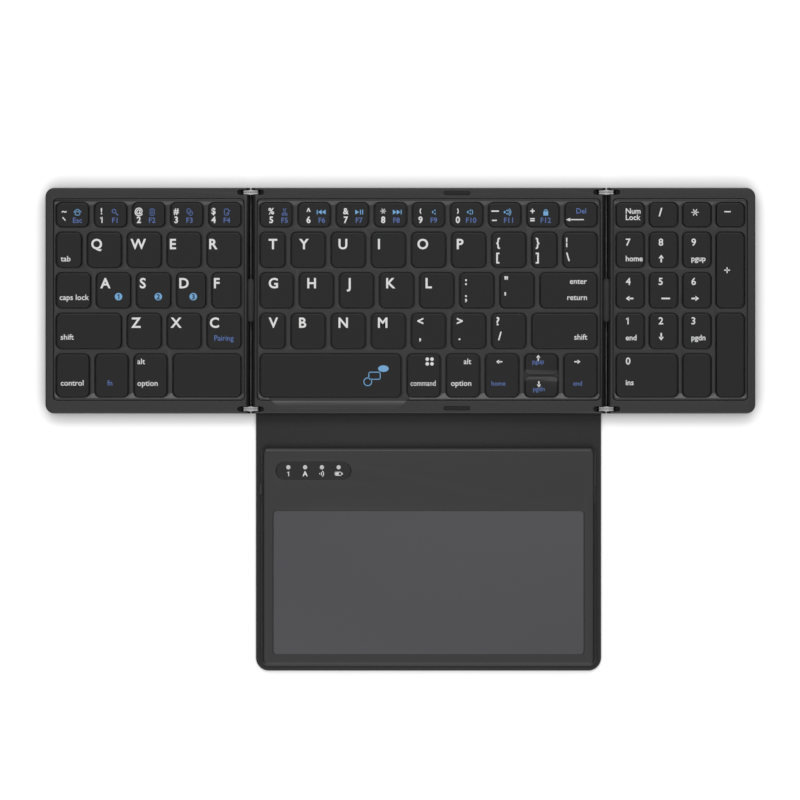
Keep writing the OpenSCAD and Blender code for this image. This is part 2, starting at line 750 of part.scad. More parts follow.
// Two hinge links at one fold, between the pivots at x_low and x_high
module hinge_links(x_low, x_high) {
  cheek_w = (link_w - link_groove_w) / 2;
  color("lightgray") for (side = [-1, 1]) translate([0, side * link_y, 0]) difference() {
    union() {
      for (cheek = [-1, 1]) {
        middle = cheek * (link_w - cheek_w) / 2;
        along_y(middle - cheek_w / 2, middle + cheek_w / 2) link_side(x_low, x_high, link_end_r);
      }
      along_y(-link_groove_w / 2, link_groove_w / 2) link_side(x_low, x_high, link_end_r - link_groove_depth);
    }
    for (x = [x_low, x_high])
      rod(pin_r + pin_running_clearance, x, pivot_z, -link_w / 2 - cut, link_w / 2 + cut);
  }
}

module link_side(x_low, x_high, r) {
  translate([x_low, pivot_z - r]) square([x_high - x_low, 2 * r]);
  for (x = [x_low, x_high]) translate([x, pivot_z]) circle(r);
}

module hinge_pins(xs) {
  color("darkgray") for (x = xs, side = [-1, 1]) pin_span(side, x, pin_r, 0);
}

// The rubber bridge that carries the wiring across a fold
module flex_bridge(x_low, x_high) {
  color("#404040") slab_between(
    x_low - bridge_anchor, x_high + bridge_anchor, bridge_y - bridge_l / 2,
    bridge_y + bridge_l / 2, bridge_t, [[0, pivot_z - bridge_t / 2], [0, pivot_z + bridge_t / 2]]
  );
}

// ---- middle section ----

module screw_shape(extra) {
  translate([0, 0, deck_z - (extra > 0 ? cut : 0)])
    cylinder(h = screw_head_h + (extra > 0 ? cut + extra : 0), r = screw_head_r + extra);
  translate([0, 0, deck_z]) cylinder(h = pivot_z + screw_reach - deck_z + extra, r = screw_r + extra);
}

module screw_holes() {
  for (spot = screw_spots) translate(spot) screw_shape(screw_clearance);
}

module bumpers(grow, z_low, z_high) {
  for (side = [-1, 1]) translate([meeting_x, side * bumper_y, 0])
    slab(bumper_l + 2 * grow, bumper_w + 2 * grow, bumper_w / 2 + grow - end_flat / 2,
      [[0, z_low], [0, z_high]]);
}

// The wedge cut out of the front rim, so that thumbs reach the space bar; it starts
// a depth of back behind the recess's front wall
module thumb_ramp(back) {
  recess_y = field_front_y - web_margin_front;
  foot_y = recess_y - ramp_shelf;
  ledge_y = foot_y - ramp_d;
  top_y = ledge_y - rise_ledge;
  ledge_z = rim_z - rise_drop;
  reach = recess_y - top_y;
  low_x = ramp_x - ramp_w / 2;
  high_x = ramp_x + ramp_w / 2;
  intersection() {
    along_x(low_x - 2 * (reach + back), high_x + 2 * (reach + back))
      polygon([[recess_y + back, web_z], [foot_y, web_z], [ledge_y, ledge_z], [top_y, ledge_z],
        [top_y, rim_z + cut], [recess_y + back, rim_z + cut]]);
    linear_extrude(rim_z + 2 * cut)
      polygon([[low_x - reach - back, recess_y + back], [low_x, top_y], [high_x, top_y],
        [high_x + reach + back, recess_y + back]]);
  }
}

module main_bottom_shell() {
  color("#333333") difference() {
    bottom_shell(main_section);
    screw_holes();
  }
}

module main_top_cover() {
  color("#3a3a3a") difference() {
    top_cover(main_section);
    screw_holes();
    thumb_ramp(cut);
    bumpers(0, rim_z - bumper_sink, rim_z + cut);
  }
}

module main_key_web() {
  color("#3b3b3b") difference() {
    key_web(main_section, main_openings);
    thumb_ramp(rise_ledge + front_rise_d + cut);
  }
}

module main_key_plate() { key_plate(main_section); }
module main_membrane() { membrane(main_section); }
module main_rubber_domes() { rubber_domes(main_keys); }
module main_scissors() { scissors(main_keys); }
module main_hinge_pins() { hinge_pins([-main_pivot_x, main_pivot_x]); }
module housing_screws() { color("dimgray") for (spot = screw_spots) translate(spot) screw_shape(0); }
module bumper_pads() { color("#1c1c1c") bumpers(0, rim_z - bumper_sink, rim_z + bumper_proud); }

module leather_back() {
  color("#343434") slab_between(-leather_w / 2, leather_w / 2, front_y,
    rear_y - leather_rear_margin, flap_rear_corner_r, [[0, 0], [0, leather_t]]);
}

module main_keys_row_5() {
  keycaps(main_whole_front_keys);
  color("#2c2c2c") {
    sloped_keycap(up_key, -1);
    sloped_keycap(down_key, 1);
  }
}

// ---- wings ----

module feet(section) {
  x = (section[0] + section[1]) / 2;
  color("#1c1c1c") for (side = [-1, 1]) translate([x, side * (rear_y - foot_inset), 0])
    slab(foot_l, foot_w, foot_w / 2 - foot_bevel, [[foot_bevel, 0], [0, foot_bevel], [0, deck_z]]);
}

module left_bottom_shell() { color("#333333") bottom_shell(left_section); }
module left_top_cover() { color("#3a3a3a") top_cover(left_section); }
module left_key_web() { color("#3b3b3b") key_web(left_section, left_keys); }
module left_key_plate() { key_plate(left_section); }
module left_membrane() { membrane(left_section); }
module left_rubber_domes() { rubber_domes(left_keys); }
module left_scissors() { scissors(left_keys); }
module left_hinge_pins() { hinge_pins([-wing_pivot_x]); }
module left_feet() { feet(left_section); }
module left_hinge_links() { hinge_links(-wing_pivot_x, -main_pivot_x); }
module left_flex_bridge() { flex_bridge(-wing_pivot_x, -main_pivot_x); }

module right_bottom_shell() { color("#333333") bottom_shell(right_section); }
module right_top_cover() { color("#3a3a3a") top_cover(right_section); }
module right_key_web() { color("#3b3b3b") key_web(right_section, right_keys); }
module right_key_plate() { key_plate(right_section); }
module right_membrane() { membrane(right_section); }
module right_rubber_domes() { rubber_domes(right_keys); }
module right_scissors() { scissors(right_keys); }
module right_hinge_pins() { hinge_pins([wing_pivot_x]); }
module right_feet() { feet(right_section); }
module right_hinge_links() { hinge_links(main_pivot_x, wing_pivot_x); }
module right_flex_bridge() { flex_bridge(main_pivot_x, wing_pivot_x); }

// ---- leather spine and flap ----

module leather_spine() {
  color("#343434") along_x(-leather_w / 2, leather_w / 2) {
    translate([flap_crease_y, 0]) square([spine_l, leather_t]);
    for (y = [flap_crease_y, crease_y]) translate([y, crease_z]) circle(leather_t / 2);
  }
}

module leather_flap() {
  edge = [[0, 0], [0, leather_t]];
  color("#343434") union() {
    slab_between(-leather_w / 2, leather_w / 2, flap_rear_y - flap_d, flap_rear_y,
      flap_corner_r, edge);
    slab_between(-leather_w / 2, leather_w / 2, flap_rear_y - flap_d / 2, flap_rear_y,
      flap_rear_corner_r, edge);
  }
}

// ---- touchpad housing ----

module housing_slab(edge) {
  translate([0, housing_y, 0]) slab(housing_w, housing_d, housing_corner_r, edge);
}

module housing_cavity(z_low, z_high) {
  translate([0, housing_y, 0])
    slab(housing_w - 2 * housing_wall, housing_d - 2 * housing_wall,
      housing_corner_r - housing_wall, [[0, z_low], [0, z_high]]);
}

// The side slots for the charging port and the power switch
module side_slots() {
  reach = housing_wall + 2 * cut;
  translate([housing_w / 2 - housing_wall - cut, port_y - port_w / 2 - port_clearance,
    port_z - port_clearance])
    cube([reach, port_w + 2 * port_clearance, port_h + 2 * port_clearance]);
  translate([-housing_w / 2 - cut, switch_y - switch_slot_l / 2, tray_z - switch_slot_h / 2])
    cube([reach, switch_slot_l, switch_slot_h]);
}

post_spots = [for (x = [-1, 0, 1], y = [-1, 1])
  [x * (touch_w / 2 - 3 * post_r), touch_y + y * (touch_d / 2 - 3 * post_r), 0]];

module touchpad_tray() {
  color("#383838") {
    difference() {
      housing_slab([[tray_bevel, deck_z], [0, deck_z + tray_bevel], [0, tray_z]]);
      housing_cavity(tray_floor_z, tray_z + cut);
      side_slots();
    }
    for (spot = post_spots) translate(spot + [0, 0, tray_floor_z - housing_floor_t / 2])
      cylinder(h = board_z - tray_floor_z + housing_floor_t / 2, r = post_r);
  }
}

module touchpad_bezel() {
  color("#3c3c3c") difference() {
    housing_slab([[0, tray_z], [0, housing_top_z - housing_bevel_h],
      [housing_bevel_w, housing_top_z]]);
    housing_cavity(tray_z - cut, bezel_roof_z);
    translate([0, touch_y, 0])
      slab(touch_w + 2 * touch_gap, touch_d + 2 * touch_gap, touch_corner_r + touch_gap,
        [[0, bezel_roof_z - cut], [0, housing_top_z + cut]]);
    window_slab(touch_gap, bezel_roof_z - cut, housing_top_z + cut);
    side_slots();
  }
}

module touch_surface() {
  color("#535257") translate([0, touch_y, 0])
    slab(touch_w, touch_d, touch_corner_r, [[0, touch_z], [0, touch_z + touch_t]]);
}

// The window's rounded outline; its ends are half circles
module window_slab(grow, z_low, z_high) {
  translate([window_x, window_y, 0])
    slab(window_l + 2 * grow, window_w + 2 * grow, window_w / 2 + grow - end_flat / 2,
      [[0, z_low], [0, z_high]]);
}

module indicator_window() {
  color("#1c1c1c") window_slab(0, window_z, window_z + window_t);
}

led_spots = [for (i = [-1.5, -0.5, 0.5, 1.5])
  [window_x + i * led_pitch, window_y + led_offset, touch_z]];

module indicator_leds() {
  color("white") for (spot = led_spots) translate(spot)
    cylinder(h = window_z - touch_z, r = led_r);
}

// The board lies under the touch surface, with a tail under the indicator lights
module touch_board() {
  rear_edge = board_tail_front_y + board_margin;
  tail_rear_y = window_y + window_w / 2 + board_margin;
  color("darkgreen") {
    translate([0, touch_y, board_z])
      linear_extrude(board_t) square([touch_w + 2 * board_margin, touch_d + 2 * board_margin],
        center = true);
    translate([window_x - window_l / 2, rear_edge - cut, board_z])
      cube([window_l, tail_rear_y - rear_edge + cut, board_t]);
  }
}

module battery() {
  battery_rear_y = flap_rear_y - housing_wall - battery_gap;
  color("lightslategray") slab_between(0, battery_l, battery_rear_y - battery_w, battery_rear_y,
    battery_t / 2, [[0, tray_floor_z], [0, tray_floor_z + battery_t]]);
}

module closing_magnets() {
  color("silver") for (side = [-1, 1])
    translate([side * magnet_x - magnet_w / 2, touch_y - touch_d / 2 + magnet_l / 2, tray_floor_z])
      cube([magnet_w, magnet_l, magnet_t]);
}

module charging_port() {
  mouth_x = housing_w / 2 - port_recess;
  tongue_t = port_h / 4;
  color("silver") translate([mouth_x - port_d, port_y, port_z]) {
    difference() {
      translate([0, -port_w / 2, 0]) cube([port_d, port_w, port_h]);
      translate([port_wall, -port_w / 2 + port_wall, port_wall])
        cube([port_d, port_w - 2 * port_wall, port_h - 2 * port_wall]);
    }
    translate([port_wall / 2, -port_w / 3, port_h / 2 - tongue_t / 2])
      cube([port_d * 3 / 4, port_w * 2 / 3, tongue_t]);
  }
}

module power_switch() {
  wall_x = -housing_w / 2;
  knob_h = switch_slot_h - 2 * switch_clearance;
  flange_l = switch_knob_l + 2 * switch_travel;
  inner_x = wall_x + housing_wall + switch_clearance;
  color("#202020") translate([0, switch_knob_y, tray_z]) {
    translate([wall_x - switch_proud, -switch_knob_l / 2, -knob_h / 2])
      cube([inner_x - wall_x + switch_proud + switch_flange_t / 2, switch_knob_l, knob_h]);
    translate([inner_x, -flange_l / 2, -switch_slot_h / 2])
      cube([switch_flange_t, flange_l, switch_slot_h]);
  }
}

// ---- nodes ----

main_bottom_shell();
main_top_cover();
main_key_web();
main_key_plate();
main_membrane();
main_rubber_domes();
main_scissors();
main_hinge_pins();
housing_screws();
bumper_pads();
leather_back();
left_bottom_shell();
left_top_cover();
left_key_web();
left_key_plate();
left_membrane();
left_rubber_domes();
left_scissors();
left_hinge_pins();
left_feet();
right_bottom_shell();
right_top_cover();
right_key_web();
right_key_plate();
right_membrane();
right_rubber_domes();
right_scissors();
right_hinge_pins();
right_feet();
left_hinge_links();
right_hinge_links();
left_flex_bridge();
right_flex_bridge();
leather_spine();
leather_flap();
touchpad_tray();
touchpad_bezel();
touch_surface();
touch_board();
battery();
indicator_window();
indicator_leds();
charging_port();
closing_magnets();
power_switch();
keycaps(main_keys[0]);  // main_keys_row_1
keycaps(main_keys[1]);  // main_keys_row_2
keycaps(main_keys[2]);  // main_keys_row_3
keycaps(main_keys[3]);  // main_keys_row_4
main_keys_row_5();
keycaps(left_keys[0]);  // left_keys_row_1
keycaps(left_keys[1]);  // left_keys_row_2
keycaps(left_keys[2]);  // left_keys_row_3
keycaps(left_keys[3]);  // left_keys_row_4
keycaps(left_keys[4]);  // left_keys_row_5
keycaps(right_keys[0]);  // right_keys_row_1
keycaps(right_keys[1]);  // right_keys_row_2
keycaps(right_keys[2]);  // right_keys_row_3
keycaps(right_keys[3]);  // right_keys_row_4
keycaps(right_keys[4]);  // right_keys_row_5
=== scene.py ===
"""Dresses the packed folding keyboard.

It makes the keycaps, legends, hinges, leather and touchpad, gives every part its finish and sets
a plain stage.
"""

import json
import math
from collections import namedtuple
from functools import cache

import bmesh
import bpy
from bpy.props import FloatProperty, FloatVectorProperty, IntProperty, PointerProperty
from mathutils import Matrix, Vector

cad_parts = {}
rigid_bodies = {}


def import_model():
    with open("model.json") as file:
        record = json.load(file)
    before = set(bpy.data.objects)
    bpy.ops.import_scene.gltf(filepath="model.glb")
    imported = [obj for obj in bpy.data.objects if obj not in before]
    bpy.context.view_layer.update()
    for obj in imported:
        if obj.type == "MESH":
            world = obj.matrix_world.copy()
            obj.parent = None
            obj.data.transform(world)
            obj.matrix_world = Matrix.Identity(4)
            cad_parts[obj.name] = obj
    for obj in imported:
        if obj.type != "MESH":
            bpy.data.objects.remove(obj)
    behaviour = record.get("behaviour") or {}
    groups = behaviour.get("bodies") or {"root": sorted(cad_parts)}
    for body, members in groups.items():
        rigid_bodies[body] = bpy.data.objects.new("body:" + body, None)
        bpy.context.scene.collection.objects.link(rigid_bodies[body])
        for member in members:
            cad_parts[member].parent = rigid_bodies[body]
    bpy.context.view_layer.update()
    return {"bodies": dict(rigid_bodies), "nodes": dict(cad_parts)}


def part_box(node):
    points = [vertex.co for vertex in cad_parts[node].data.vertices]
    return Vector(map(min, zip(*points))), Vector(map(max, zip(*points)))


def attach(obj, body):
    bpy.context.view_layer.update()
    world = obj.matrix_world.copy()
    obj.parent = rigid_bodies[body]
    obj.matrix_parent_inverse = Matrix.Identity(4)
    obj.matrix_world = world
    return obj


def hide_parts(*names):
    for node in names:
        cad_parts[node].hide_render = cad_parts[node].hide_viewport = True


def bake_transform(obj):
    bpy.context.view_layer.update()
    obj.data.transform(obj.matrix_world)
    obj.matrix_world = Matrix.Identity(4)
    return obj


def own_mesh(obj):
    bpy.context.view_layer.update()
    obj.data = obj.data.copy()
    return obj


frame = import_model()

bl_info = {
    "name": "Folding Keyboard Dresser",
    "version": (1, 0, 0),
    "blender": (4, 5, 0),
    "location": "3D View > Sidebar > Keyboard",
    "description": "Gives a folding keyboard its keycaps, legends, leather, hinges and finishes",
    "category": "Object",
}

MM = 0.001
NODES = frame["nodes"]
# Points closer than this are one point
WELD = 1e-6

SECTIONS = {"main": "main_section", "left": "left_wing", "right": "right_wing"}
ROWS = (1, 2, 3, 4, 5)


# ---- settings that a user would change ----

def colour_setting(name, description, default):
    return FloatVectorProperty(name=name, description=description, subtype="COLOR", size=3, min=0,
                               max=1, default=default)


def length_setting(name, description, default):
    return FloatProperty(name=name, description=description, subtype="DISTANCE", unit="LENGTH",
                         min=0, default=default * MM, precision=5)


class KeyboardColours(bpy.types.PropertyGroup):
    """Base colours of the finishes"""
    rim: colour_setting("Rim", "Satin plastic of the three top covers", (0.011, 0.011, 0.011))
    web: colour_setting("Web", "Plastic between the keys", (0.012, 0.012, 0.012))
    shell: colour_setting("Shell", "Plastic of the bottom shells", (0.013, 0.013, 0.013))
    keycap: colour_setting("Keycap", "Matt plastic of the keys", (0.005, 0.005, 0.0054))
    housing: colour_setting("Touchpad housing", "Plastic round the touch surface",
                            (0.015, 0.015, 0.015))
    touch: colour_setting("Touch film", "Coated film of the touch surface", (0.097, 0.095, 0.105))
    leather: colour_setting("Leather", "Leather cover and spine", (0.017, 0.017, 0.017))
    white: colour_setting("White print", "Main legends", (1.0, 1.0, 1.0))
    blue: colour_setting("Blue print", "Second functions", (0.110, 0.185, 0.470))
    pale_blue: colour_setting("Pale blue print", "Pictures of the second functions",
                              (0.23, 0.52, 0.88))


class KeycapShape(bpy.types.PropertyGroup):
    """Sizes of a keycap"""
    corner: length_setting("Corner", "Corner radius seen from above", 2.4)
    edge: length_setting("Edge", "Radius of the rounded top edge", 0.42)
    crown: length_setting("Crown", "Width of the flat band inside the rounded edge", 0.3)
    wall: length_setting("Wall", "Thickness of a keycap's skirt", 1.0)
    roof: length_setting("Roof", "Thickness of a keycap's top", 0.9)


class LegendShape(bpy.types.PropertyGroup):
    """Sizes of the printed legends"""
    ink: length_setting("Ink", "How far the print stands proud", 0.02)
    steps: IntProperty(name="Steps", description="Straight steps in each curve of a letter",
                       min=1, max=8, default=3)


class WindowShape(bpy.types.PropertyGroup):
    """Sizes of the indicator window's marks and the knob's ribs"""
    lens: length_setting("Lens", "Radius of an indicator lens", 1.0)
    lens_height: length_setting("Lens height", "How far a lens stands proud", 0.06)
    label_drop: length_setting("Label drop", "From a lens's middle to the top of its label", 1.9)
    ribs: IntProperty(name="Ribs", description="Ribs on the power switch's knob", min=1, default=5)
    rib_pitch: length_setting("Rib pitch", "Distance from rib to rib", 0.85)


class LeatherShape(bpy.types.PropertyGroup):
    """Sizes of the leather cover"""
    thickness: length_setting("Thickness", "Thickness of the leather", 0.8)
    edge: length_setting("Edge", "Reach of the rounded cut edge", 0.3)
    bend: length_setting("Bend", "Width of the strip that bends at a crease", 2.4)


class StageSettings(bpy.types.PropertyGroup):
    """Camera and lights"""
    camera_height: length_setting("Camera height", "Height of the camera over the keys", 1860)
    lens: FloatProperty(name="Lens", description="Focal length in mm", default=180, min=1)
    rear_light: FloatProperty(name="Rear light", description="Power of the rear light",
                              unit="POWER", default=7.4, min=0)
    front_light: FloatProperty(name="Front light", description="Power of the front light",
                               unit="POWER", default=4.6, min=0)
    ambient: FloatProperty(name="Ambient", description="Light from all round", default=0.31, min=0)


def settings(name):
    return getattr(bpy.context.scene, "keyboard_" + name)


# ---- node trees ----

def new_tree(name, kind, inputs, outputs):
    """A node tree with named sockets, with its input and output nodes."""
    tree = bpy.data.node_groups.new(name, kind)
    for label, socket_kind, default in inputs:
        socket = tree.interface.new_socket(label, in_out="INPUT", socket_type=socket_kind)
        if default is not None:
            socket.default_value = default
    for label, socket_kind in outputs:
        tree.interface.new_socket(label, in_out="OUTPUT", socket_type=socket_kind)
    return tree, tree.nodes.new("NodeGroupInput").outputs, tree.nodes.new("NodeGroupOutput").inputs


def feed(tree, socket, value):
    """Links another socket to this one, or sets its value."""
    if isinstance(value, bpy.types.NodeSocket):
        tree.links.new(value, socket)
    else:
        socket.default_value = value


def add(tree, kind, feeds=None, **props):
    """A node whose inputs, given by name or number, are set or linked."""
    node = tree.nodes.new(kind)
    for key, value in props.items():
        setattr(node, key, value)
    for key, value in (feeds or {}).items():
        feed(tree, node.inputs[key], value)
    return node


def first_of(tree, kind, feeds=None, **props):
    """The first output of a new node."""
    return add(tree, kind, feeds, **props).outputs[0]


def maths(tree, operation, a, b=0.0):
    return first_of(tree, "ShaderNodeMath", {0: a, 1: b}, operation=operation)


def scaled(tree, vector, factor):
    return first_of(tree, "ShaderNodeVectorMath", {0: vector, "Scale": factor}, operation="SCALE")


def object_place(tree):
    """Where a spot lies in its object, which is its place in the shared frame at rest."""
    return add(tree, "ShaderNodeTexCoord").outputs["Object"]


def noise(tree, where, scale, detail=2.0):
    """Soft noise with features of about 1 / scale."""
    return add(tree, "ShaderNodeTexNoise", {"Vector": where, "Scale": scale, "Detail": detail})


FLOAT = "NodeSocketFloat"
COLOUR = "NodeSocketColor"
GEOMETRY = "NodeSocketGeometry"
MATERIAL = "NodeSocketMaterial"


# Size of the coarse grain, in fine grains
COARSE_GRAIN = 4.0


def grain_group():
    """Fine moulded grain: a height made of two sizes of noise."""
    tree, given, result = new_tree(
        "Moulded Grain", "ShaderNodeTree",
        [("Size", FLOAT, 0.0003), ("Coarse Share", FLOAT, 0.4)], [("Height", FLOAT)])
    where = object_place(tree)
    scale = maths(tree, "DIVIDE", 1.0, given["Size"])
    fine = noise(tree, where, scale, 1.0)
    coarse = noise(tree, where, maths(tree, "DIVIDE", scale, COARSE_GRAIN))
    part = maths(tree, "MULTIPLY", coarse.outputs["Fac"], given["Coarse Share"])
    feed(tree, result["Height"], maths(tree, "ADD", fine.outputs["Fac"], part))
    return tree


# Size of the leather's wander and of its waves, in pebbles, and how far its pebbles wander
WANDER_SIZE = 3.0
WAVE_SIZE = 12.0
WANDER = 0.4 * MM
# Where a pebble's slope ends and its flat top starts, as a share of a pebble
PEBBLE_SLOPE = 0.35


def leather_group():
    """Pebbled leather: rounded cells with fine creases between them, and slow waves."""
    tree, given, result = new_tree(
        "Leather Grain", "ShaderNodeTree",
        [("Size", FLOAT, 0.0006), ("Wave", FLOAT, 0.5)], [("Height", FLOAT)])
    where = object_place(tree)
    scale = maths(tree, "DIVIDE", 1.0, given["Size"])
    wander = noise(tree, where, maths(tree, "DIVIDE", scale, WANDER_SIZE))
    shift = scaled(tree, wander.outputs["Color"], WANDER)
    moved = first_of(tree, "ShaderNodeVectorMath", {0: where, 1: shift}, operation="ADD")
    cells = add(tree, "ShaderNodeTexVoronoi", {"Vector": moved, "Scale": scale},
                feature="DISTANCE_TO_EDGE")
    dome = add(tree, "ShaderNodeMapRange",
               {"Value": cells.outputs["Distance"], "From Max": PEBBLE_SLOPE},
               interpolation_type="SMOOTHSTEP").outputs["Result"]
    slow = noise(tree, where, maths(tree, "DIVIDE", scale, WAVE_SIZE))
    wave = maths(tree, "MULTIPLY", slow.outputs["Fac"], given["Wave"])
    feed(tree, result["Height"], maths(tree, "ADD", dome, wave))
    return tree


def brushed_group():
    """Fine lines along Y, as on drawn or brushed metal."""
    tree, given, result = new_tree(
        "Brushed Lines", "ShaderNodeTree",
        [("Size", FLOAT, 0.00008), ("Stretch", FLOAT, 40.0)], [("Height", FLOAT)])
    split = add(tree, "ShaderNodeSeparateXYZ", {0: object_place(tree)})
    along = maths(tree, "DIVIDE", split.outputs["Y"], given["Stretch"])
    drawn = first_of(tree, "ShaderNodeCombineXYZ",
                     {"X": split.outputs["X"], "Y": along, "Z": split.outputs["Z"]})
    lines = noise(tree, drawn, maths(tree, "DIVIDE", 1.0, given["Size"]))
    feed(tree, result["Height"], lines.outputs["Fac"])
    return tree


def handling_group():
    """Slow patches that vary a colour and a roughness, as on a surface that is handled."""
    tree, given, result = new_tree(
        "Handling", "ShaderNodeTree",
        [("Color", COLOUR, (0.1, 0.1, 0.1, 1)), ("Roughness", FLOAT, 0.5),
         ("Colour Spread", FLOAT, 0.1), ("Roughness Spread", FLOAT, 0.08), ("Size", FLOAT, 0.02)],
        [("Color", COLOUR), ("Roughness", FLOAT)])
    patches = noise(tree, object_place(tree), maths(tree, "DIVIDE", 1.0, given["Size"]), 4.0)
    centred = maths(tree, "SUBTRACT", patches.outputs["Fac"], 0.5)
    shade = maths(tree, "ADD", 1.0, maths(tree, "MULTIPLY", centred, given["Colour Spread"]))
    feed(tree, result["Color"], scaled(tree, given["Color"], shade))
    uneven = maths(tree, "MULTIPLY", centred, given["Roughness Spread"])
    feed(tree, result["Roughness"], maths(tree, "ADD", given["Roughness"], uneven))
    return tree


# How near another surface has to be for the painted shade to darken a spot
RECESS_REACH = 1.6 * MM


def recess_group():
    """How open a spot is, from 0 deep in a gap to 1 in the open; it darkens colours as painted
    shade.
    """
    tree, given, result = new_tree(
        "Painted Recess Shade", "ShaderNodeTree", [("Strength", FLOAT, 1.0)], [("Share", FLOAT)])
    openness = add(tree, "ShaderNodeAmbientOcclusion", {"Distance": RECESS_REACH}, samples=4)
    share = maths(tree, "POWER", openness.outputs["AO"], given["Strength"])
    feed(tree, result["Share"], share)
    return tree


GROUP_MAKERS = {"grain": grain_group, "leather": leather_group, "brushed": brushed_group,
                "handling": handling_group, "recess": recess_group}


@cache
def shared_group(name):
    """One of the shader groups above, made once."""
    return GROUP_MAKERS[name]()


def use_group(tree, name, values):
    """A node with a shared group and values for its inputs."""
    node = add(tree, "ShaderNodeGroup", node_tree=shared_group(name))
    for label, value in values.items():
        feed(tree, node.inputs[label], value)
    return node


# ---- finishes ----

# Relief is a shader group, size and depth are its grain's in metres, level is how strongly the
# surface reflects, and spread is how much its colour varies
Look = namedtuple("Look", "colour roughness relief size depth level metallic coat spread",
                  defaults=("grain", 0.0003, 0.000004, 0.5, 0.0, 0.0, 0.12))


def looks():
    """The finish of every material slot, and of the pieces that differ inside one slot."""
    colours = settings("colours")
    return {
        "housing_plastic": Look(colours.rim, 0.31, level=0.5),
        "web": Look(colours.web, 0.34, level=0.5),
        "shell": Look(colours.shell, 0.5),
        "keycap_plastic": Look(colours.keycap, 0.38, level=0.3, depth=0.000006),
        "touchpad_plastic": Look(colours.housing, 0.37, level=0.5),
        "touch_film": Look(colours.touch, 0.5, size=0.00012, depth=0.000001, level=0.3,
                           spread=0.03),
        "window_plastic": Look((0.004, 0.004, 0.004), 0.12, depth=0.0000003, level=0.3, coat=0.2),
        "led": Look((0.75, 0.76, 0.78), 0.3, depth=0.000001),
        "leather": Look(colours.leather, 0.55, "leather", 0.0005, 0.00002, level=0.35),
        "polished_steel": Look((0.42, 0.42, 0.43), 0.2, "brushed", 0.0004, 0.0000003, metallic=1.0,
                               spread=0.03),
        "steel_sheet": Look((0.5, 0.5, 0.51), 0.38, "brushed", 0.0001, 0.000002, metallic=1.0),
        "membrane_film": Look((0.012, 0.013, 0.014), 0.4, size=0.0004, depth=0.000001, coat=0.2),
        "dome_rubber": Look((0.55, 0.55, 0.53), 0.62),
        "switch_plastic": Look((0.60, 0.60, 0.58), 0.4),
        "black_rubber": Look((0.010, 0.010, 0.010), 0.72, size=0.00025, depth=0.00001, level=0.3),
        "bridge_rubber": Look((0.022, 0.022, 0.023), 0.6, depth=0.000008, level=0.4),
        "circuit_board": Look((0.012, 0.085, 0.030), 0.35, size=0.0008, depth=0.000006, coat=0.4),
        "battery_foil": Look((0.42, 0.43, 0.45), 0.34, "brushed", 0.0003, 0.000006, metallic=0.6),
        "switch_knob": Look((0.014, 0.014, 0.014), 0.45),
        "white": Look(colours.white, 0.5, depth=0.000001, spread=0.04),
        "blue": Look(colours.blue, 0.5, depth=0.000001, spread=0.04),
        "pale_blue": Look(colours.pale_blue, 0.5, depth=0.000001, spread=0.04),
    }


# How strongly painted shade makes gaps darker than open surfaces
RECESS_SHADE = 1.8
COAT_ROUGHNESS = 0.08


@cache
def finish(name):
    """The material of a finish, made once."""
    look = looks()[name]
    material = bpy.data.materials.new("finish_" + name)
    material.use_nodes = True
    tree = material.node_tree
    shader = tree.nodes["Principled BSDF"]
    shader.inputs["Metallic"].default_value = look.metallic
    shader.inputs["Specular IOR Level"].default_value = look.level
    shader.inputs["Coat Weight"].default_value = look.coat
    shader.inputs["Coat Roughness"].default_value = COAT_ROUGHNESS
    patches = use_group(tree, "handling", {
        "Color": (*look.colour, 1), "Roughness": look.roughness, "Colour Spread": look.spread})
    # Painted shade: the base colour grows darker in gaps and recesses, by ambient occlusion
    recess = use_group(tree, "recess", {"Strength": RECESS_SHADE})
    shaded = scaled(tree, patches.outputs["Color"], recess.outputs["Share"])
    feed(tree, shader.inputs["Base Color"], shaded)
    feed(tree, shader.inputs["Roughness"], patches.outputs["Roughness"])
    relief = use_group(tree, look.relief, {"Size": look.size})
    bump = add(tree, "ShaderNodeBump", {"Height": relief.outputs["Height"], "Distance": look.depth})
    feed(tree, shader.inputs["Normal"], bump.outputs["Normal"])
    return material


# ---- pieces ----

def body_of(node):
    """The body that carries a CAD node."""
    return next(name for name, body in frame["bodies"].items() if NODES[node].parent == body)


def new_object(name, mesh):
    obj = bpy.data.objects.new(name, mesh)
    bpy.context.scene.collection.objects.link(obj)
    return obj


def joined(mesh):
    """A mesh's shape with the points of its loose triangles joined."""
    shape = bmesh.new()
    shape.from_mesh(mesh)
    bmesh.ops.remove_doubles(shape, verts=shape.verts, dist=WELD)
    return shape


def stored(shape, name):
    """Keeps a shape as a new mesh and ends its editing."""
    mesh = bpy.data.meshes.new(name)
    shape.to_mesh(mesh)
    shape.free()
    return mesh


def solid_boxes(node):
    """The low and high corner of each solid of a CAD node."""
    shape = joined(NODES[node].data)
    boxes = [island_box(island) for island in islands(shape)]
    shape.free()
    return boxes


def middles(*nodes):
    """Where the middle of each solid of these nodes lies along X."""
    return sorted({round((low.x + high.x) / 2, 5) for node in nodes
                   for low, high in solid_boxes(node)})


# Triangles whose planes differ by less than this angle are one face
FLAT = math.radians(0.5)


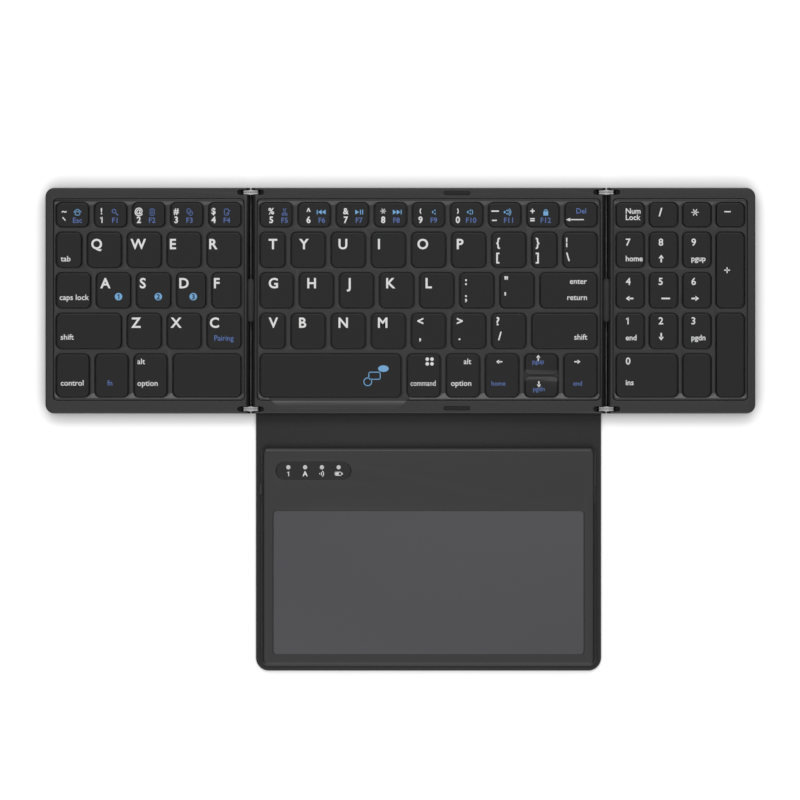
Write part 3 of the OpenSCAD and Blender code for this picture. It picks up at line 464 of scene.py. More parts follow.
def welded(node, keep=None, cuts=()):
    """A CAD node's shape with its loose triangles joined into whole faces.

    Keep tells from a solid's low and high corner whether the solid stays. Cuts are places along X
    where the faces stay parted, so that none of them goes round a hole.
    """
    shape = joined(NODES[node].data)
    if keep:
        strangers = [vert for island in islands(shape) if not keep(*island_box(island))
                     for vert in island]
        bmesh.ops.delete(shape, geom=strangers, context="VERTS")
    for x in cuts:
        found = bmesh.ops.bisect_plane(
            shape, geom=[*shape.verts, *shape.edges, *shape.faces], dist=WELD,
            plane_co=(x, 0, 0), plane_no=(1, 0, 0))
        for item in found["geom_cut"]:
            if isinstance(item, bmesh.types.BMEdge):
                item.seam = True
    bmesh.ops.dissolve_limit(shape, angle_limit=FLAT, verts=shape.verts, edges=shape.edges,
                             delimit={"SEAM"})
    return shape


def islands(shape):
    """The separate solids of a shape, each a list of points."""
    found = []
    seen = set()
    for start in shape.verts:
        if start in seen:
            continue
        seen.add(start)
        island = [start]
        for vert in island:
            for edge in vert.link_edges:
                other = edge.other_vert(vert)
                if other not in seen:
                    seen.add(other)
                    island.append(other)
        found.append(island)
    return found


def island_box(island):
    """The lowest and highest corner of a solid."""
    return tuple(Vector(pick(v.co[i] for v in island) for i in range(3)) for pick in (min, max))


def baked(obj):
    """Turns an object's modifiers into a plain mesh."""
    view = bpy.context.evaluated_depsgraph_get()
    mesh = bpy.data.meshes.new_from_object(obj.evaluated_get(view))
    obj.modifiers.clear()
    old = obj.data
    obj.data = mesh
    bpy.data.meshes.remove(old)
    return obj


def smooth(obj, angle=35):
    """Shades an object smoothly, apart from edges sharper than an angle in degrees."""
    obj.data.shade_smooth()
    obj.data.set_sharp_from_angle(angle=math.radians(angle))
    return obj


def dress(obj, slot, body, replaces=(), look=None):
    """Gives a finished piece its material, its body and the CAD nodes that it stands for."""
    obj.data.materials.clear()
    obj.data.materials.append(finish(look or slot))
    place(obj, body, replaces)
    return obj


def place(obj, body, replaces=()):
    """Hangs a piece on its body and hides the CAD nodes that it stands for."""
    if replaces:
        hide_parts(*replaces)
    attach(obj, body)


def soften(obj, width, segments=3):
    """Rounds an object's edges over a width in mm."""
    bevel = obj.modifiers.new("Soft edges", "BEVEL")
    bevel.width = width * MM
    bevel.segments = segments
    return bevel


# Faces that meet at more than this angle make an edge that is rounded
CORNER_ANGLE = math.radians(30)


def edged(node, slot, width, look=None, segments=3, keep=None, name=None, cuts=(), clamp=False):
    """A piece with a CAD node's shape and softly rounded edges."""
    mesh = stored(welded(node, keep, cuts), node)
    obj = new_object(name or node + ".edged", mesh)
    bevel = soften(obj, width, segments)
    bevel.limit_method = "ANGLE"
    bevel.angle_limit = CORNER_ANGLE
    bevel.use_clamp_overlap = clamp
    bevel.harden_normals = True
    mesh.shade_smooth()
    return dress(baked(obj), slot, body_of(node), [node], look)


# ---- housings ----

def make_housings():
    for section in SECTIONS:
        holes = [section + "_key_plate"]
        if section == "main":
            holes += ["housing_screws", "bumper_pads"]
        cuts = middles(*holes)
        edged(section + "_top_cover", "housing_plastic", 0.1, cuts=cuts)
        edged(section + "_bottom_shell", "housing_plastic", 0.14, "shell", cuts=cuts)
        edged(section + "_key_web", "housing_plastic", 0.09, "web", segments=2)
    edged("bumper_pads", "black_rubber", 0.2)
    for side in ("left", "right"):
        edged(side + "_feet", "black_rubber", 0.15)


# ---- keycaps ----

CAP_CORNER_POINTS = 7
CAP_EDGE_STEPS = 4


def keycap_tree():
    """Turns flat outlines into hollow keycaps with rounded corners and top edges."""
    tree, given, result = new_tree(
        "Keycap Shells", "GeometryNodeTree",
        [("Outlines", GEOMETRY, None), ("Corner", FLOAT, 0.0022), ("Edge", FLOAT, 0.0004),
         ("Crown", FLOAT, 0.0003), ("Top", FLOAT, 0.0055), ("Bottom", FLOAT, 0.0039),
         ("Wall", FLOAT, 0.001), ("Roof", FLOAT, 0.0009), ("Material", MATERIAL, None)],
        [("Keycaps", GEOMETRY)])
    outline = first_of(tree, "GeometryNodeMeshToCurve", {"Mesh": given["Outlines"]})
    filleted = first_of(tree, "GeometryNodeFilletCurve", {
        "Curve": outline, "Count": CAP_CORNER_POINTS, "Radius": given["Corner"]}, mode="POLY")
    upright = first_of(tree, "GeometryNodeSetCurveNormal", {"Curve": filleted}, mode="Z_UP")

    def point(outward, height):
        """A profile point; a profile's Y axis points down on the swept outline."""
        down = maths(tree, "MULTIPLY", height, -1.0)
        return first_of(tree, "ShaderNodeCombineXYZ", {"X": outward, "Y": down})

    edge_in = maths(tree, "MULTIPLY", given["Edge"], -1.0)
    crown_in = maths(tree, "SUBTRACT", edge_in, given["Crown"])
    wall_in = maths(tree, "MULTIPLY", given["Wall"], -1.0)
    shoulder = maths(tree, "SUBTRACT", given["Top"], given["Edge"])
    ceiling = maths(tree, "SUBTRACT", given["Top"], given["Roof"])
    crown = point(crown_in, given["Top"])
    edge_top = point(edge_in, given["Top"])
    edge_side = point(0.0, shoulder)
    foot_out = point(0.0, given["Bottom"])
    foot_in = point(wall_in, given["Bottom"])
    roof_in = point(wall_in, ceiling)
    bands = [first_of(tree, "GeometryNodeCurvePrimitiveLine", {"Start": a, "End": b})
             for a, b in ((crown, edge_top), (edge_side, foot_out), (foot_out, foot_in),
                          (foot_in, roof_in))]
    round_edge = first_of(tree, "GeometryNodeCurveQuadraticBezier", {
        "Resolution": CAP_EDGE_STEPS, "Start": edge_top, "Middle": point(0.0, given["Top"]),
        "End": edge_side})
    profile = add(tree, "GeometryNodeJoinGeometry")
    for band in [*bands, round_edge]:
        tree.links.new(band, profile.inputs[0])
    swept = first_of(tree, "GeometryNodeCurveToMesh",
                     {"Curve": upright, "Profile Curve": profile.outputs[0]})
    skin = first_of(tree, "GeometryNodeMergeByDistance", {"Geometry": swept, "Distance": WELD})

    neighbours = first_of(tree, "GeometryNodeInputMeshEdgeNeighbors")
    open_edge = first_of(tree, "FunctionNodeCompare", {2: neighbours, 3: 1}, data_type="INT",
                         operation="EQUAL")
    spot = first_of(tree, "GeometryNodeInputPosition")
    height = add(tree, "ShaderNodeSeparateXYZ", {0: spot}).outputs["Z"]
    between = maths(tree, "SUBTRACT", given["Top"], maths(tree, "DIVIDE", given["Roof"], 2.0))
    above = maths(tree, "GREATER_THAN", height, between)
    below = maths(tree, "SUBTRACT", 1.0, above)
    whole = add(tree, "GeometryNodeJoinGeometry")
    tree.links.new(skin, whole.inputs[0])
    for side, rise in ((above, given["Top"]), (below, ceiling)):
        both = first_of(tree, "FunctionNodeBooleanMath", {0: open_edge, 1: side}, operation="AND")
        loops = first_of(tree, "GeometryNodeMeshToCurve", {"Mesh": skin, "Selection": both})
        face = first_of(tree, "GeometryNodeFillCurve", {"Curve": loops}, mode="NGONS")
        lift = first_of(tree, "ShaderNodeCombineXYZ", {"Z": rise})
        raised = first_of(tree, "GeometryNodeTransform", {"Geometry": face, "Translation": lift})
        tree.links.new(raised, whole.inputs[0])
    closed = first_of(tree, "GeometryNodeMergeByDistance",
                      {"Geometry": whole.outputs[0], "Distance": 3 * WELD})
    feed(tree, result["Keycaps"], painted(tree, closed, given["Material"]))
    return tree


def painted(tree, pieces, material):
    """Pieces as real meshes with a material."""
    real = first_of(tree, "GeometryNodeRealizeInstances", {"Geometry": pieces})
    return first_of(tree, "GeometryNodeSetMaterial", {"Geometry": real, "Material": material})


def grow(obj, tree, inputs):
    """Runs a geometry node tree on an object and keeps the result as its plain mesh."""
    modifier = obj.modifiers.new(tree.name, "NODES")
    modifier.node_group = tree
    for item in tree.interface.items_tree:
        if item.in_out == "INPUT" and item.name in inputs:
            modifier[item.identifier] = inputs[item.name]
    return baked(obj)


def facing_out(obj):
    """Points every face of a closed piece outwards."""
    shape = joined(obj.data)
    bmesh.ops.recalc_face_normals(shape, faces=shape.faces)
    shape.to_mesh(obj.data)
    shape.free()
    return obj


def key_boxes(node):
    """The low and high corners of a row's keys, from left to right and from the rear."""
    return sorted(solid_boxes(node), key=lambda box: (round(box[0].x, 4), -box[0].y))


# The two arrow keys that share one place are less deep than this, and every other key is deeper
HALF_KEY_DEPTH = 10 * MM


def is_half_key(low, high):
    return high.y - low.y < HALF_KEY_DEPTH


def outlines(boxes):
    """Four edges round each key, as a flat mesh."""
    points = []
    edges = []
    for low, high in boxes:
        first = len(points)
        points += [(low.x, low.y, 0), (high.x, low.y, 0), (high.x, high.y, 0), (low.x, high.y, 0)]
        edges += [(first + i, first + (i + 1) % 4) for i in range(4)]
    mesh = bpy.data.meshes.new("outlines")
    mesh.from_pydata(points, edges, [])
    return mesh


def make_keycaps():
    shape = settings("keycap")
    tree = keycap_tree()
    for section in SECTIONS:
        for row in ROWS:
            node = f"{section}_keys_row_{row}"
            boxes = key_boxes(node)
            whole = [box for box in boxes if not is_half_key(*box)]
            low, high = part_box(node)
            obj = grow(new_object(node + ".keycaps", outlines(whole)), tree, {
                "Corner": shape.corner, "Edge": shape.edge, "Crown": shape.crown, "Top": high.z,
                "Bottom": low.z, "Wall": shape.wall, "Roof": shape.roof,
                "Material": finish("keycap_plastic")})
            smooth(facing_out(obj))
            dress(obj, "keycap_plastic", body_of(node), [node])
    edged("main_keys_row_5", "keycap_plastic", 0.15, keep=is_half_key, name="arrow_keys.edged",
          clamp=True)


# ---- legends ----

INKS = ("white", "blue", "pale_blue", "keycap_plastic")
# Height of a capital letter at font size 1
FONT_CAP = 0.682
# Side is the side that a mark's place is measured to, cap the height of its capitals in mm, weight
# how much its strokes are thickened at font size 1, and stretch its width as a share of the font's
Style = namedtuple("Style", "side cap ink weight stretch")
LETTER = Style("left", 4.5, "white", 0.024, 0.98)
SYMBOL = Style("left", 3.6, "white", 0.026, 1.0)
TOP_SYMBOL = Style("middle", 2.8, "white", 0.024, 0.95)
NUMBER = Style("middle", 2.85, "white", 0.03, 0.95)
SECOND = Style("middle", 2.35, "blue", 0.012, 1.0)
WORD = Style("left", 2.5, "white", 0.009, 1.0)
WORD_END = WORD._replace(side="right")
NARROW_END = WORD_END._replace(weight=0.002, stretch=0.82)
BLUE_WORD = Style("left", 2.45, "blue", 0.01, 0.95)
BLUE_MIDDLE = BLUE_WORD._replace(side="middle")
SMALL_BLUE = BLUE_MIDDLE._replace(cap=2.1)
PAD_NUMBER = Style("left", 3.15, "white", 0.016, 1.0)
PAD_WORD = Style("left", 2.45, "white", 0.016, 0.98)
PICTURE = Style("middle", 3.3, "pale_blue", 0, 1.0)
BLUE_PICTURE = PICTURE._replace(ink="blue")
ARROW = Style("middle", 2.6, "white", 0, 1.0)
PAD_ARROW = Style("left", 3.2, "white", 0, 1.0)
IN_DISC = Style("middle", 2.3, "keycap_plastic", 0.02, 1.0)

# Left margin of the legends on a section's first key, and how far they drift left on each next
# key, in mm
MARGINS = {"main": (3.9, 0.32), "left": (1.95, 0.27), "right": (4.4, 0.26)}
REAR_MARGINS = {"main": (5.1, 0.37), "left": (3.55, 0.37), "right": (4.4, 0.26)}
# How far to the right of its first legend a key's second function is, in mm
SECOND_COLUMN = 6.2
# How far in front of the key's rear edge a disc is and how much further its numeral is, in mm, and
# how high the numeral's middle is over the keycap, in layers of ink
DISC_TOP = 9.2
NUMERAL_DROP = 0.55
NUMERAL_LIFT = 1.5


def rear_key(symbol, number, picture, second, picture_style=PICTURE):
    """A key of the rear row: a symbol over a number, and a picture over a second function."""
    return [(symbol, TOP_SYMBOL, 2.35), (number, NUMBER, 6.35),
            (picture, picture_style, 2.55, SECOND_COLUMN), (second, SECOND, 6.8, SECOND_COLUMN)]


def letter_keys(letters, top):
    """Keys with one letter each."""
    return [[(letter, LETTER, top)] for letter in letters]


def double_keys(pairs, top, low, shift=0):
    """Keys with one symbol over another."""
    return [[(pair[0], SYMBOL, top), (pair[1], SYMBOL, low, shift)] for pair in pairs]


def numbered_key(letter, numeral, shift):
    """A letter key with a numeral that is left open in a printed disc."""
    return [(letter, LETTER, 2.33), ("@disc", PICTURE, DISC_TOP, shift),
            (numeral, IN_DISC, DISC_TOP + NUMERAL_DROP, shift)]


def pad_key(number, top, mark, style, low):
    """A key of the number pad with a second mark in front of its number."""
    return [(number, PAD_NUMBER, top), (mark, style, low)]


# For each row, each key's marks: what it says (@ stands before a picture's name), its style, its
# distance in front of the key's rear edge and its shift to the right, in mm
LEGENDS = {
    ("left", 1): [
        rear_key("~", "@tick", "@house", "Esc"), rear_key("!", "@one", "@lens", "F1", BLUE_PICTURE),
        rear_key("@", "2", "@drawers", "F2", BLUE_PICTURE),
        rear_key("#", "3", "@pages", "F3", BLUE_PICTURE),
        rear_key("$", "4", "@page", "F4", BLUE_PICTURE)],
    ("left", 2): [[("tab", WORD, 10.8)], *letter_keys("QWER", 3.0)],
    ("left", 3): [
        [("caps lock", WORD, 9.9, -0.5)],
        numbered_key("A", "@one", 8.5), numbered_key("S", "2", 8.6), numbered_key("D", "3", 6.5),
        *letter_keys("F", 2.33)],
    ("left", 4): [
        [("shift", WORD, 9.5)], *letter_keys("ZX", 1.86),
        [("C", LETTER, 1.86), ("Pairing", BLUE_WORD, 10.0, 2.1)]],
    ("left", 5): [
        [("control", WORD, 12.0)], [("fn", BLUE_MIDDLE, 12.0, 5.0)],
        [("alt", WORD, 2.0), ("option", WORD, 12.1)], []],
    ("main", 1): [
        rear_key("%", "5", "@cut", "F5", BLUE_PICTURE), rear_key("^", "6", "@back", "F6"),
        rear_key("&", "7", "@play", "F7"), rear_key("@star", "8", "@forward", "F8"),
        rear_key("@open", "9", "@quiet", "F9"), rear_key("@close", "0", "@louder", "F10"),
        rear_key("@dash", "@short_dash", "@loud", "F11"), rear_key("+", "=", "@lock", "F12"),
        [("Del", SECOND, 2.45, 5.3), ("@long_arrow", ARROW, 6.4, 2.4)]],
    ("main", 2): [
        *letter_keys("TYUIOP", 3.0), *double_keys(["{[", "}]"], 2.7, 9.4),
        [("@broken_bar", SYMBOL, 2.6), ("\\", SYMBOL, 9.4)]],
    ("main", 3): [
        *letter_keys("GHJKL", 2.33), *double_keys([":;", "\"'"], 1.7, 9.1),
        [("enter", WORD_END, 2.4, 4.65), ("return", WORD_END, 9.9, 4.65)]],
    ("main", 4): [
        *letter_keys("VBNM", 1.86), *double_keys(["<,", ">.", "?/"], 1.6, 8.5, 0.8),
        [("shift", WORD_END, 9.5, 4.45)]],
    ("main", 5): [
        [("@touch", PICTURE, 8.6, 49.2)],
        [("@four_dots", ARROW, 2.0, 6.8), ("command", NARROW_END, 12.1, 2.1)],
        [("alt", WORD_END, 2.0, 3.75), ("option", WORD_END, 12.1, 3.75)],
        [("@left", ARROW, 2.1, 3.2), ("home", SMALL_BLUE, 12.4, 3.0)],
        [("@up", ARROW, 0.2, 3.6), ("pgup", SMALL_BLUE, 2.2, 3.6)],
        [("@down", ARROW, 2.5, 3.9), ("pgdn", SMALL_BLUE, 4.7, 3.9)],
        [("@right", ARROW, 2.1, 4.0), ("end", SMALL_BLUE, 12.4, 4.0)]],
    ("right", 1): [
        [("Num", PAD_WORD, 2.45), ("Lock", PAD_WORD, 5.4)], [("/", SYMBOL, 2.4)],
        [("@star", SYMBOL, 2.5)], [("@minus", SYMBOL, 2.2)]],
    ("right", 2): [
        pad_key("7", 2.8, "home", PAD_WORD, 10.75), pad_key("8", 2.8, "@up", PAD_ARROW, 10.2),
        pad_key("9", 2.8, "pgup", PAD_WORD, 10.75), [("@plus", SYMBOL, 15.6)]],
    ("right", 3): [
        pad_key("4", 2.2, "@left", PAD_ARROW, 10.1),
        [("5", PAD_NUMBER, 2.2), ("@dash", PAD_ARROW, 10.1, 1.3)],
        pad_key("6", 2.2, "@right", PAD_ARROW, 10.1)],
    ("right", 4): [
        pad_key("@one", 1.67, "end", PAD_WORD, 9.8), pad_key("2", 1.67, "@down", PAD_ARROW, 9.2),
        pad_key("3", 1.67, "pgdn", PAD_WORD, 9.8), []],
    ("right", 5): [pad_key("0", 1.5, "ins", PAD_WORD, 11.8), [], []],
}


# ---- pictures, in the unit of a capital's height ----

def disc(x, y, radius, steps=20, squash=1.0):
    """A round spot, or an oval one where it is squashed."""
    return [(x + radius * math.cos(2 * math.pi * i / steps),
             y + squash * radius * math.sin(2 * math.pi * i / steps)) for i in range(steps)]


def bar(x0, y0, x1, y1, width):
    """A straight stroke with square ends."""
    along = Vector((x1 - x0, y1 - y0)).normalized() * width / 2
    across = Vector((-along.y, along.x))
    a, b = Vector((x0, y0)) - along, Vector((x1, y1)) + along
    return [tuple(p) for p in (a - across, b - across, b + across, a + across)]


def arc(x, y, radius, width, start, end, steps=12):
    """A curved stroke between two angles in degrees."""
    turns = [math.radians(start + (end - start) * i / steps) for i in range(steps + 1)]
    outer, inner = ([(x + rim * math.cos(turn), y + rim * math.sin(turn)) for turn in turns]
                    for rim in (radius + width / 2, radius - width / 2))
    return outer + inner[::-1]


def ring(x, y, radius, width):
    """A whole circle as two half strokes."""
    return [arc(x, y, radius, width, 0, 180), arc(x, y, radius, width, 180, 360)]


def frame_of(x0, y0, x1, y1, width):
    """The four strokes of a rectangle."""
    return [bar(x0, y0, x1, y0, width), bar(x1, y0, x1, y1, width), bar(x1, y1, x0, y1, width),
            bar(x0, y1, x0, y0, width)]


def arrow(dx, dy, reach=0.5, width=0.22, head=0.38):
    """An arrow of length 2 * reach that points along dx, dy."""
    tip = Vector((dx, dy)) * reach
    neck = tip - Vector((dx, dy)) * head * 1.4
    side = Vector((-dy, dx)) * head
    return [[tuple(tip), tuple(neck + side), tuple(neck - side)],
            bar(-dx * reach, -dy * reach, *neck, width)]


def wave(x, radius):
    return arc(x, 0, radius, 0.1, -50, 50)


SPEAKER = [(-0.12, 0), (0.22, -0.42), (0.22, 0.42)]
PICTURES = {
    "house": [bar(-0.5, 0.02, 0, 0.46, 0.1), bar(0, 0.46, 0.5, 0.02, 0.1),
              *frame_of(-0.32, -0.42, 0.32, 0.05, 0.1)],
    "lens": [*ring(-0.12, 0.14, 0.26, 0.11), bar(0.1, -0.1, 0.42, -0.42, 0.13)],
    "drawers": [*frame_of(-0.3, -0.45, 0.3, 0.45, 0.1), bar(-0.3, 0, 0.3, 0, 0.09),
                bar(-0.08, 0.22, 0.08, 0.22, 0.09), bar(-0.08, -0.22, 0.08, -0.22, 0.09)],
    "pages": [*frame_of(-0.36, -0.2, 0.12, 0.45, 0.1), *frame_of(-0.08, -0.45, 0.38, 0.12, 0.1)],
    "page": [*frame_of(-0.36, -0.42, 0.24, 0.44, 0.1), bar(0.0, -0.2, 0.42, 0.22, 0.12)],
    "disc": [disc(0, 0, 0.53)],
    "cut": [bar(-0.2, 0.48, 0.16, -0.14, 0.1), bar(0.2, 0.48, -0.16, -0.14, 0.1),
            *ring(-0.22, -0.32, 0.14, 0.1), *ring(0.22, -0.32, 0.14, 0.1)],
    "back": [bar(-0.66, -0.26, -0.66, 0.26, 0.12), [(-0.54, 0), (-0.02, -0.34), (-0.02, 0.34)],
             [(0.0, 0), (0.52, -0.34), (0.52, 0.34)]],
    "play": [[(-0.56, -0.34), (-0.02, 0), (-0.56, 0.34)], bar(0.18, -0.27, 0.18, 0.27, 0.13),
             bar(0.48, -0.27, 0.48, 0.27, 0.13)],
    "forward": [[(-0.52, -0.34), (0.0, 0), (-0.52, 0.34)], [(0.02, -0.34), (0.54, 0), (0.02, 0.34)],
                bar(0.66, -0.26, 0.66, 0.26, 0.12)],
    "quiet": [SPEAKER, bar(-0.1, 0, 0.1, 0, 0.3)],
    "louder": [[(x - 0.3, y) for x, y in SPEAKER], bar(-0.42, 0, -0.2, 0, 0.3), wave(-0.2, 0.42)],
    "loud": [[(x - 0.36, y) for x, y in SPEAKER], bar(-0.5, 0, -0.26, 0, 0.3), wave(-0.3, 0.42),
             wave(-0.3, 0.64)],
    "lock": [[(-0.34, -0.48), (0.34, -0.48), (0.34, 0.1), (-0.34, 0.1)],
             arc(0, 0.12, 0.22, 0.11, 0, 180)],
    "dash": [bar(-0.52, 0, 0.52, 0, 0.22)],
    "short_dash": [bar(-0.42, -0.1, 0.18, -0.1, 0.2)],
    "minus": [bar(-0.34, 0, 0.34, 0, 0.15)],
    "plus": [bar(-0.3, 0, 0.3, 0, 0.14), bar(0, -0.3, 0, 0.3, 0.14)],
    "long_arrow": [[(-1.6, 0), (-0.85, 0.32), (-0.85, -0.32)], bar(-0.85, 0, 1.5, 0, 0.18)],
    "one": [bar(0.08, -0.43, 0.08, 0.43, 0.17), bar(-0.16, 0.27, 0.04, 0.43, 0.14)],
    "tick": [bar(-0.2, 0.35, 0.15, -0.05, 0.18)],
    "star": [bar(-0.42, 0, 0.42, 0, 0.11), bar(-0.21, -0.36, 0.21, 0.36, 0.11),
             bar(-0.21, 0.36, 0.21, -0.36, 0.11)],
    "open": [arc(0.55, 0, 0.62, 0.17, 138, 222, 8)],
    "close": [arc(-0.55, 0, 0.62, 0.17, -42, 42, 8)],
    "broken_bar": [bar(0, 0.1, 0, 0.5, 0.16), bar(0, -0.55, 0, -0.15, 0.16)],
    "left": arrow(-1, 0), "right": arrow(1, 0), "up": arrow(0, 1), "down": arrow(0, -1),
    "four_dots": [disc(x, y, 0.32, 14) for x in (-0.42, 0.42) for y in (-0.42, 0.42)],
    "waves": [disc(-0.45, 0, 0.13, 10), arc(-0.45, 0, 0.42, 0.17, -48, 48, 8),
              arc(-0.45, 0, 0.82, 0.17, -48, 48, 8)],
    "battery": [*frame_of(-0.75, -0.34, 0.6, 0.34, 0.15), bar(0.8, -0.1, 0.8, 0.1, 0.16),
                [(-0.6, -0.2), (0.05, -0.2), (0.05, 0.2), (-0.6, 0.2)]],
    "touch": [*frame_of(-0.8, -0.4, 0.8, 0.6, 0.12), *ring(-0.95, -0.75, 0.55, 0.12),
              disc(1.25, 1.1, 0.75, 20, 0.62)],
}


# ---- printing ----

def prism(shape, outline, low, high, ink):
    """A flat closed solid on an outline."""
    floor = [shape.verts.new((x, y, low)) for x, y in outline]
    roof = [shape.verts.new((x, y, high)) for x, y in outline]
    faces = [shape.faces.new(floor[::-1]), shape.faces.new(roof)]
    for i in range(len(outline)):
        j = (i + 1) % len(outline)
        faces.append(shape.faces.new((floor[i], floor[j], roof[j], roof[i])))
    for face in faces:
        face.material_index = ink


@cache
def glyph(text, weight):
    """A text as a closed mesh, 1 thick at font size 1, made once."""
    curve = bpy.data.curves.new("text", "FONT")
    curve.body = text
    curve.extrude = 0.5
    curve.offset = weight
    curve.resolution_u = settings("legend").steps
    holder = bpy.data.objects.new("text", curve)
    mesh = bpy.data.meshes.new_from_object(holder)
    bpy.data.objects.remove(holder)
    bpy.data.curves.remove(curve)
    return mesh


def print_mark(shape, what, style, x, top, z):
    """Prints one mark; x is its left edge, middle or right edge, and top its capitals' top."""
    ink = INKS.index(style.ink)
    rise = settings("legend").ink
    if what.startswith("@") and len(what) > 1:
        print_picture(shape, PICTURES[what[1:]], style, x, top, (z - rise, z + rise), ink)
    else:
        print_text(shape, what, style, x, top, (z, 2 * rise), ink)


def print_picture(shape, picture, style, x, top, heights, ink):
    unit = style.cap * MM
    reach = [px * unit for outline in picture for px, _ in outline]
    middle = {"left": x - min(reach), "middle": x, "right": x - max(reach)}[style.side]
    for outline in picture:
        points = [(middle + px * unit, top - unit / 2 + py * unit) for px, py in outline]
        prism(shape, points, *heights, ink)


def print_text(shape, text, style, x, top, layer, ink):
    """Prints letters into a layer, which has a middle height and a thickness."""
    source = glyph(text, style.weight)
    z, thickness = layer
    size = style.cap * MM / FONT_CAP
    reach = [v.co.x * size * style.stretch for v in source.vertices]
    middle = (min(reach) + max(reach)) / 2
    shift = x - {"left": min(reach), "middle": middle, "right": max(reach)}[style.side]
    place_text = (Matrix.Translation((shift, top - style.cap * MM, z))
                  @ Matrix.Diagonal((size * style.stretch, size, thickness, 1)))
    mesh = source.copy()
    mesh.transform(place_text)
    first = len(shape.faces)
    shape.from_mesh(mesh)
    shape.faces.ensure_lookup_table()
    for face in shape.faces[first:]:
        face.material_index = ink
    bpy.data.meshes.remove(mesh)


def printed(name, shape, body):
    """Places a finished print with the inks as its materials."""
    mesh = stored(shape, name)
    for ink in INKS:
        mesh.materials.append(finish(ink))
    place(new_object(name, mesh), body)


def make_legends():
    numeral_lift = NUMERAL_LIFT * settings("legend").ink
    for (section, row), keys in LEGENDS.items():
        node = f"{section}_keys_row_{row}"
        margin, drift = (REAR_MARGINS if row == 1 else MARGINS)[section]
        shape = bmesh.new()
        # Keys one in front of the other share a column
        column = -1
        last_x = None
        for (low, high), marks in zip(key_boxes(node), keys):
            column += low.x != last_x
            last_x = low.x
            for what, style, top, *shift in marks:
                z = high.z + numeral_lift if style is IN_DISC else high.z
                dx = shift[0] if shift else 0
                if style.side == "right":
                    x = high.x - dx * MM
                else:
                    x = low.x + (margin - drift * column + dx) * MM
                print_mark(shape, what, style, x, high.y - top * MM, z)
        printed(node + ".legends", shape, body_of(node))


# ---- hinges ----

# Steps of a rubber bridge's mesh from its end to its middle
BRIDGE_STEPS = 16


def make_hinges():
    for side in ("left", "right"):
        edged(side + "_hinge_links", "polished_steel", 0.12)
        make_flex_bridge(side)


def make_flex_bridge(side):
    """The rubber strip over a fold, in two halves that meet at its middle."""
    node = side + "_flex_bridge"
    low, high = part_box(node)
    middle = (low.x + high.x) / 2
    wing = SECTIONS[side]
    inner, outer = (high.x, low.x) if side == "left" else (low.x, high.x)
    for name, end, body in (("inner", inner, SECTIONS["main"]), ("outer", outer, wing)):
        obj = strip_along_x(f"{node}.{name}", end, middle, low, high)
        obj.data.materials.append(finish("bridge_rubber"))
        if name == "inner":
            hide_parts(node)
        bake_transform(obj)


def strip_along_x(name, end, middle, low, high):
    """A thin strip from one end to the middle, with rounded long edges and fine rows."""
    round_r = (high.z - low.z) / 2
    centre_z = (high.z + low.z) / 2
    section = []
    for side, edge_y in ((1, high.y), (-1, low.y)):
        for i in range(7):
            angle = math.radians(30 * i - 90 * side)
            section.append((edge_y - side * round_r + round_r * math.cos(angle),
                            centre_z + round_r * math.sin(angle)))
    stations = [end + (middle - end) * i / BRIDGE_STEPS for i in range(BRIDGE_STEPS + 1)]
    rings = [[(x, y, z) for y, z in section] for x in stations]
    return smooth(facing_out(new_object(name, loft(rings))))


def loft(rings):
    """A closed mesh through rings with the same number of points."""
    size = len(rings[0])
    points = [p for ring in rings for p in ring]
    faces = [[a * size + i, a * size + (i + 1) % size, (a + 1) * size + (i + 1) % size,
              (a + 1) * size + i] for a in range(len(rings) - 1) for i in range(size)]
    faces += [list(range(size)), [(len(rings) - 1) * size + i for i in range(size)]]
    mesh = bpy.data.meshes.new("loft")
    mesh.from_pydata(points, [], faces)
    return mesh


# ---- leather ----

# Corner radii at the rear and the front end, in mm
REAR_CORNER = 0.9
FRONT_CORNER = 6.0
# Steps of the mesh along a sheet, across a bending strip, round a corner and round a cut edge
LENGTH_STEPS = 24
BEND_STEPS = 30
CORNER_STEPS = 12
EDGE_STEPS = 8
# Roundness of a sheet's end, which would be a sharp line at 1
END_ROUNDING = 0.98


def sheet_stations(length, corner, bend):
    """Distances from a sheet's end where it has points, closer at its corners and its bend."""
    strip = 2 * settings("leather").bend
    found = {0.0}
    found.update(length * i / LENGTH_STEPS for i in range(1, LENGTH_STEPS + 1))
    found.update(bend + (i / BEND_STEPS - 0.5) * strip for i in range(BEND_STEPS + 1))
    found.update(corner * (1 - math.cos(math.radians(90 * i / CORNER_STEPS)))
                 for i in range(1, CORNER_STEPS + 1))
    return sorted(distance for distance in found if 0 <= distance <= length)


def leather_sheet(name, y_from, y_to, corner, bend_y):
    """A sheet of leather along Y, with round corners at its first end and a rounded cut edge."""
    shape = settings("leather")
    half_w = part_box("leather_flap")[1].x
    half_t = shape.thickness / 2
    away = 1 if y_to > y_from else -1
    rings = []
    for distance in sheet_stations(abs(y_to - y_from), corner, abs(bend_y - y_from)):
        width = half_w
        if distance < corner:
            width -= corner - math.sqrt(max(0, corner ** 2 - (corner - distance) ** 2))
        lean = max(0.0, 1 - distance / shape.edge)
        thin = half_t * math.sqrt(1 - END_ROUNDING * lean ** 2)
        ring = []
        for side in (1, -1):
            for i in range(EDGE_STEPS + 1):
                angle = math.radians(180 * i / EDGE_STEPS - 90)
                inset = shape.edge * (1 - math.cos(angle))
                ring.append((side * (width - inset), y_from + away * distance,
                             half_t + side * thin * math.sin(angle)))
        rings.append(ring)
    return smooth(facing_out(new_object(name, loft(rings))), 40)


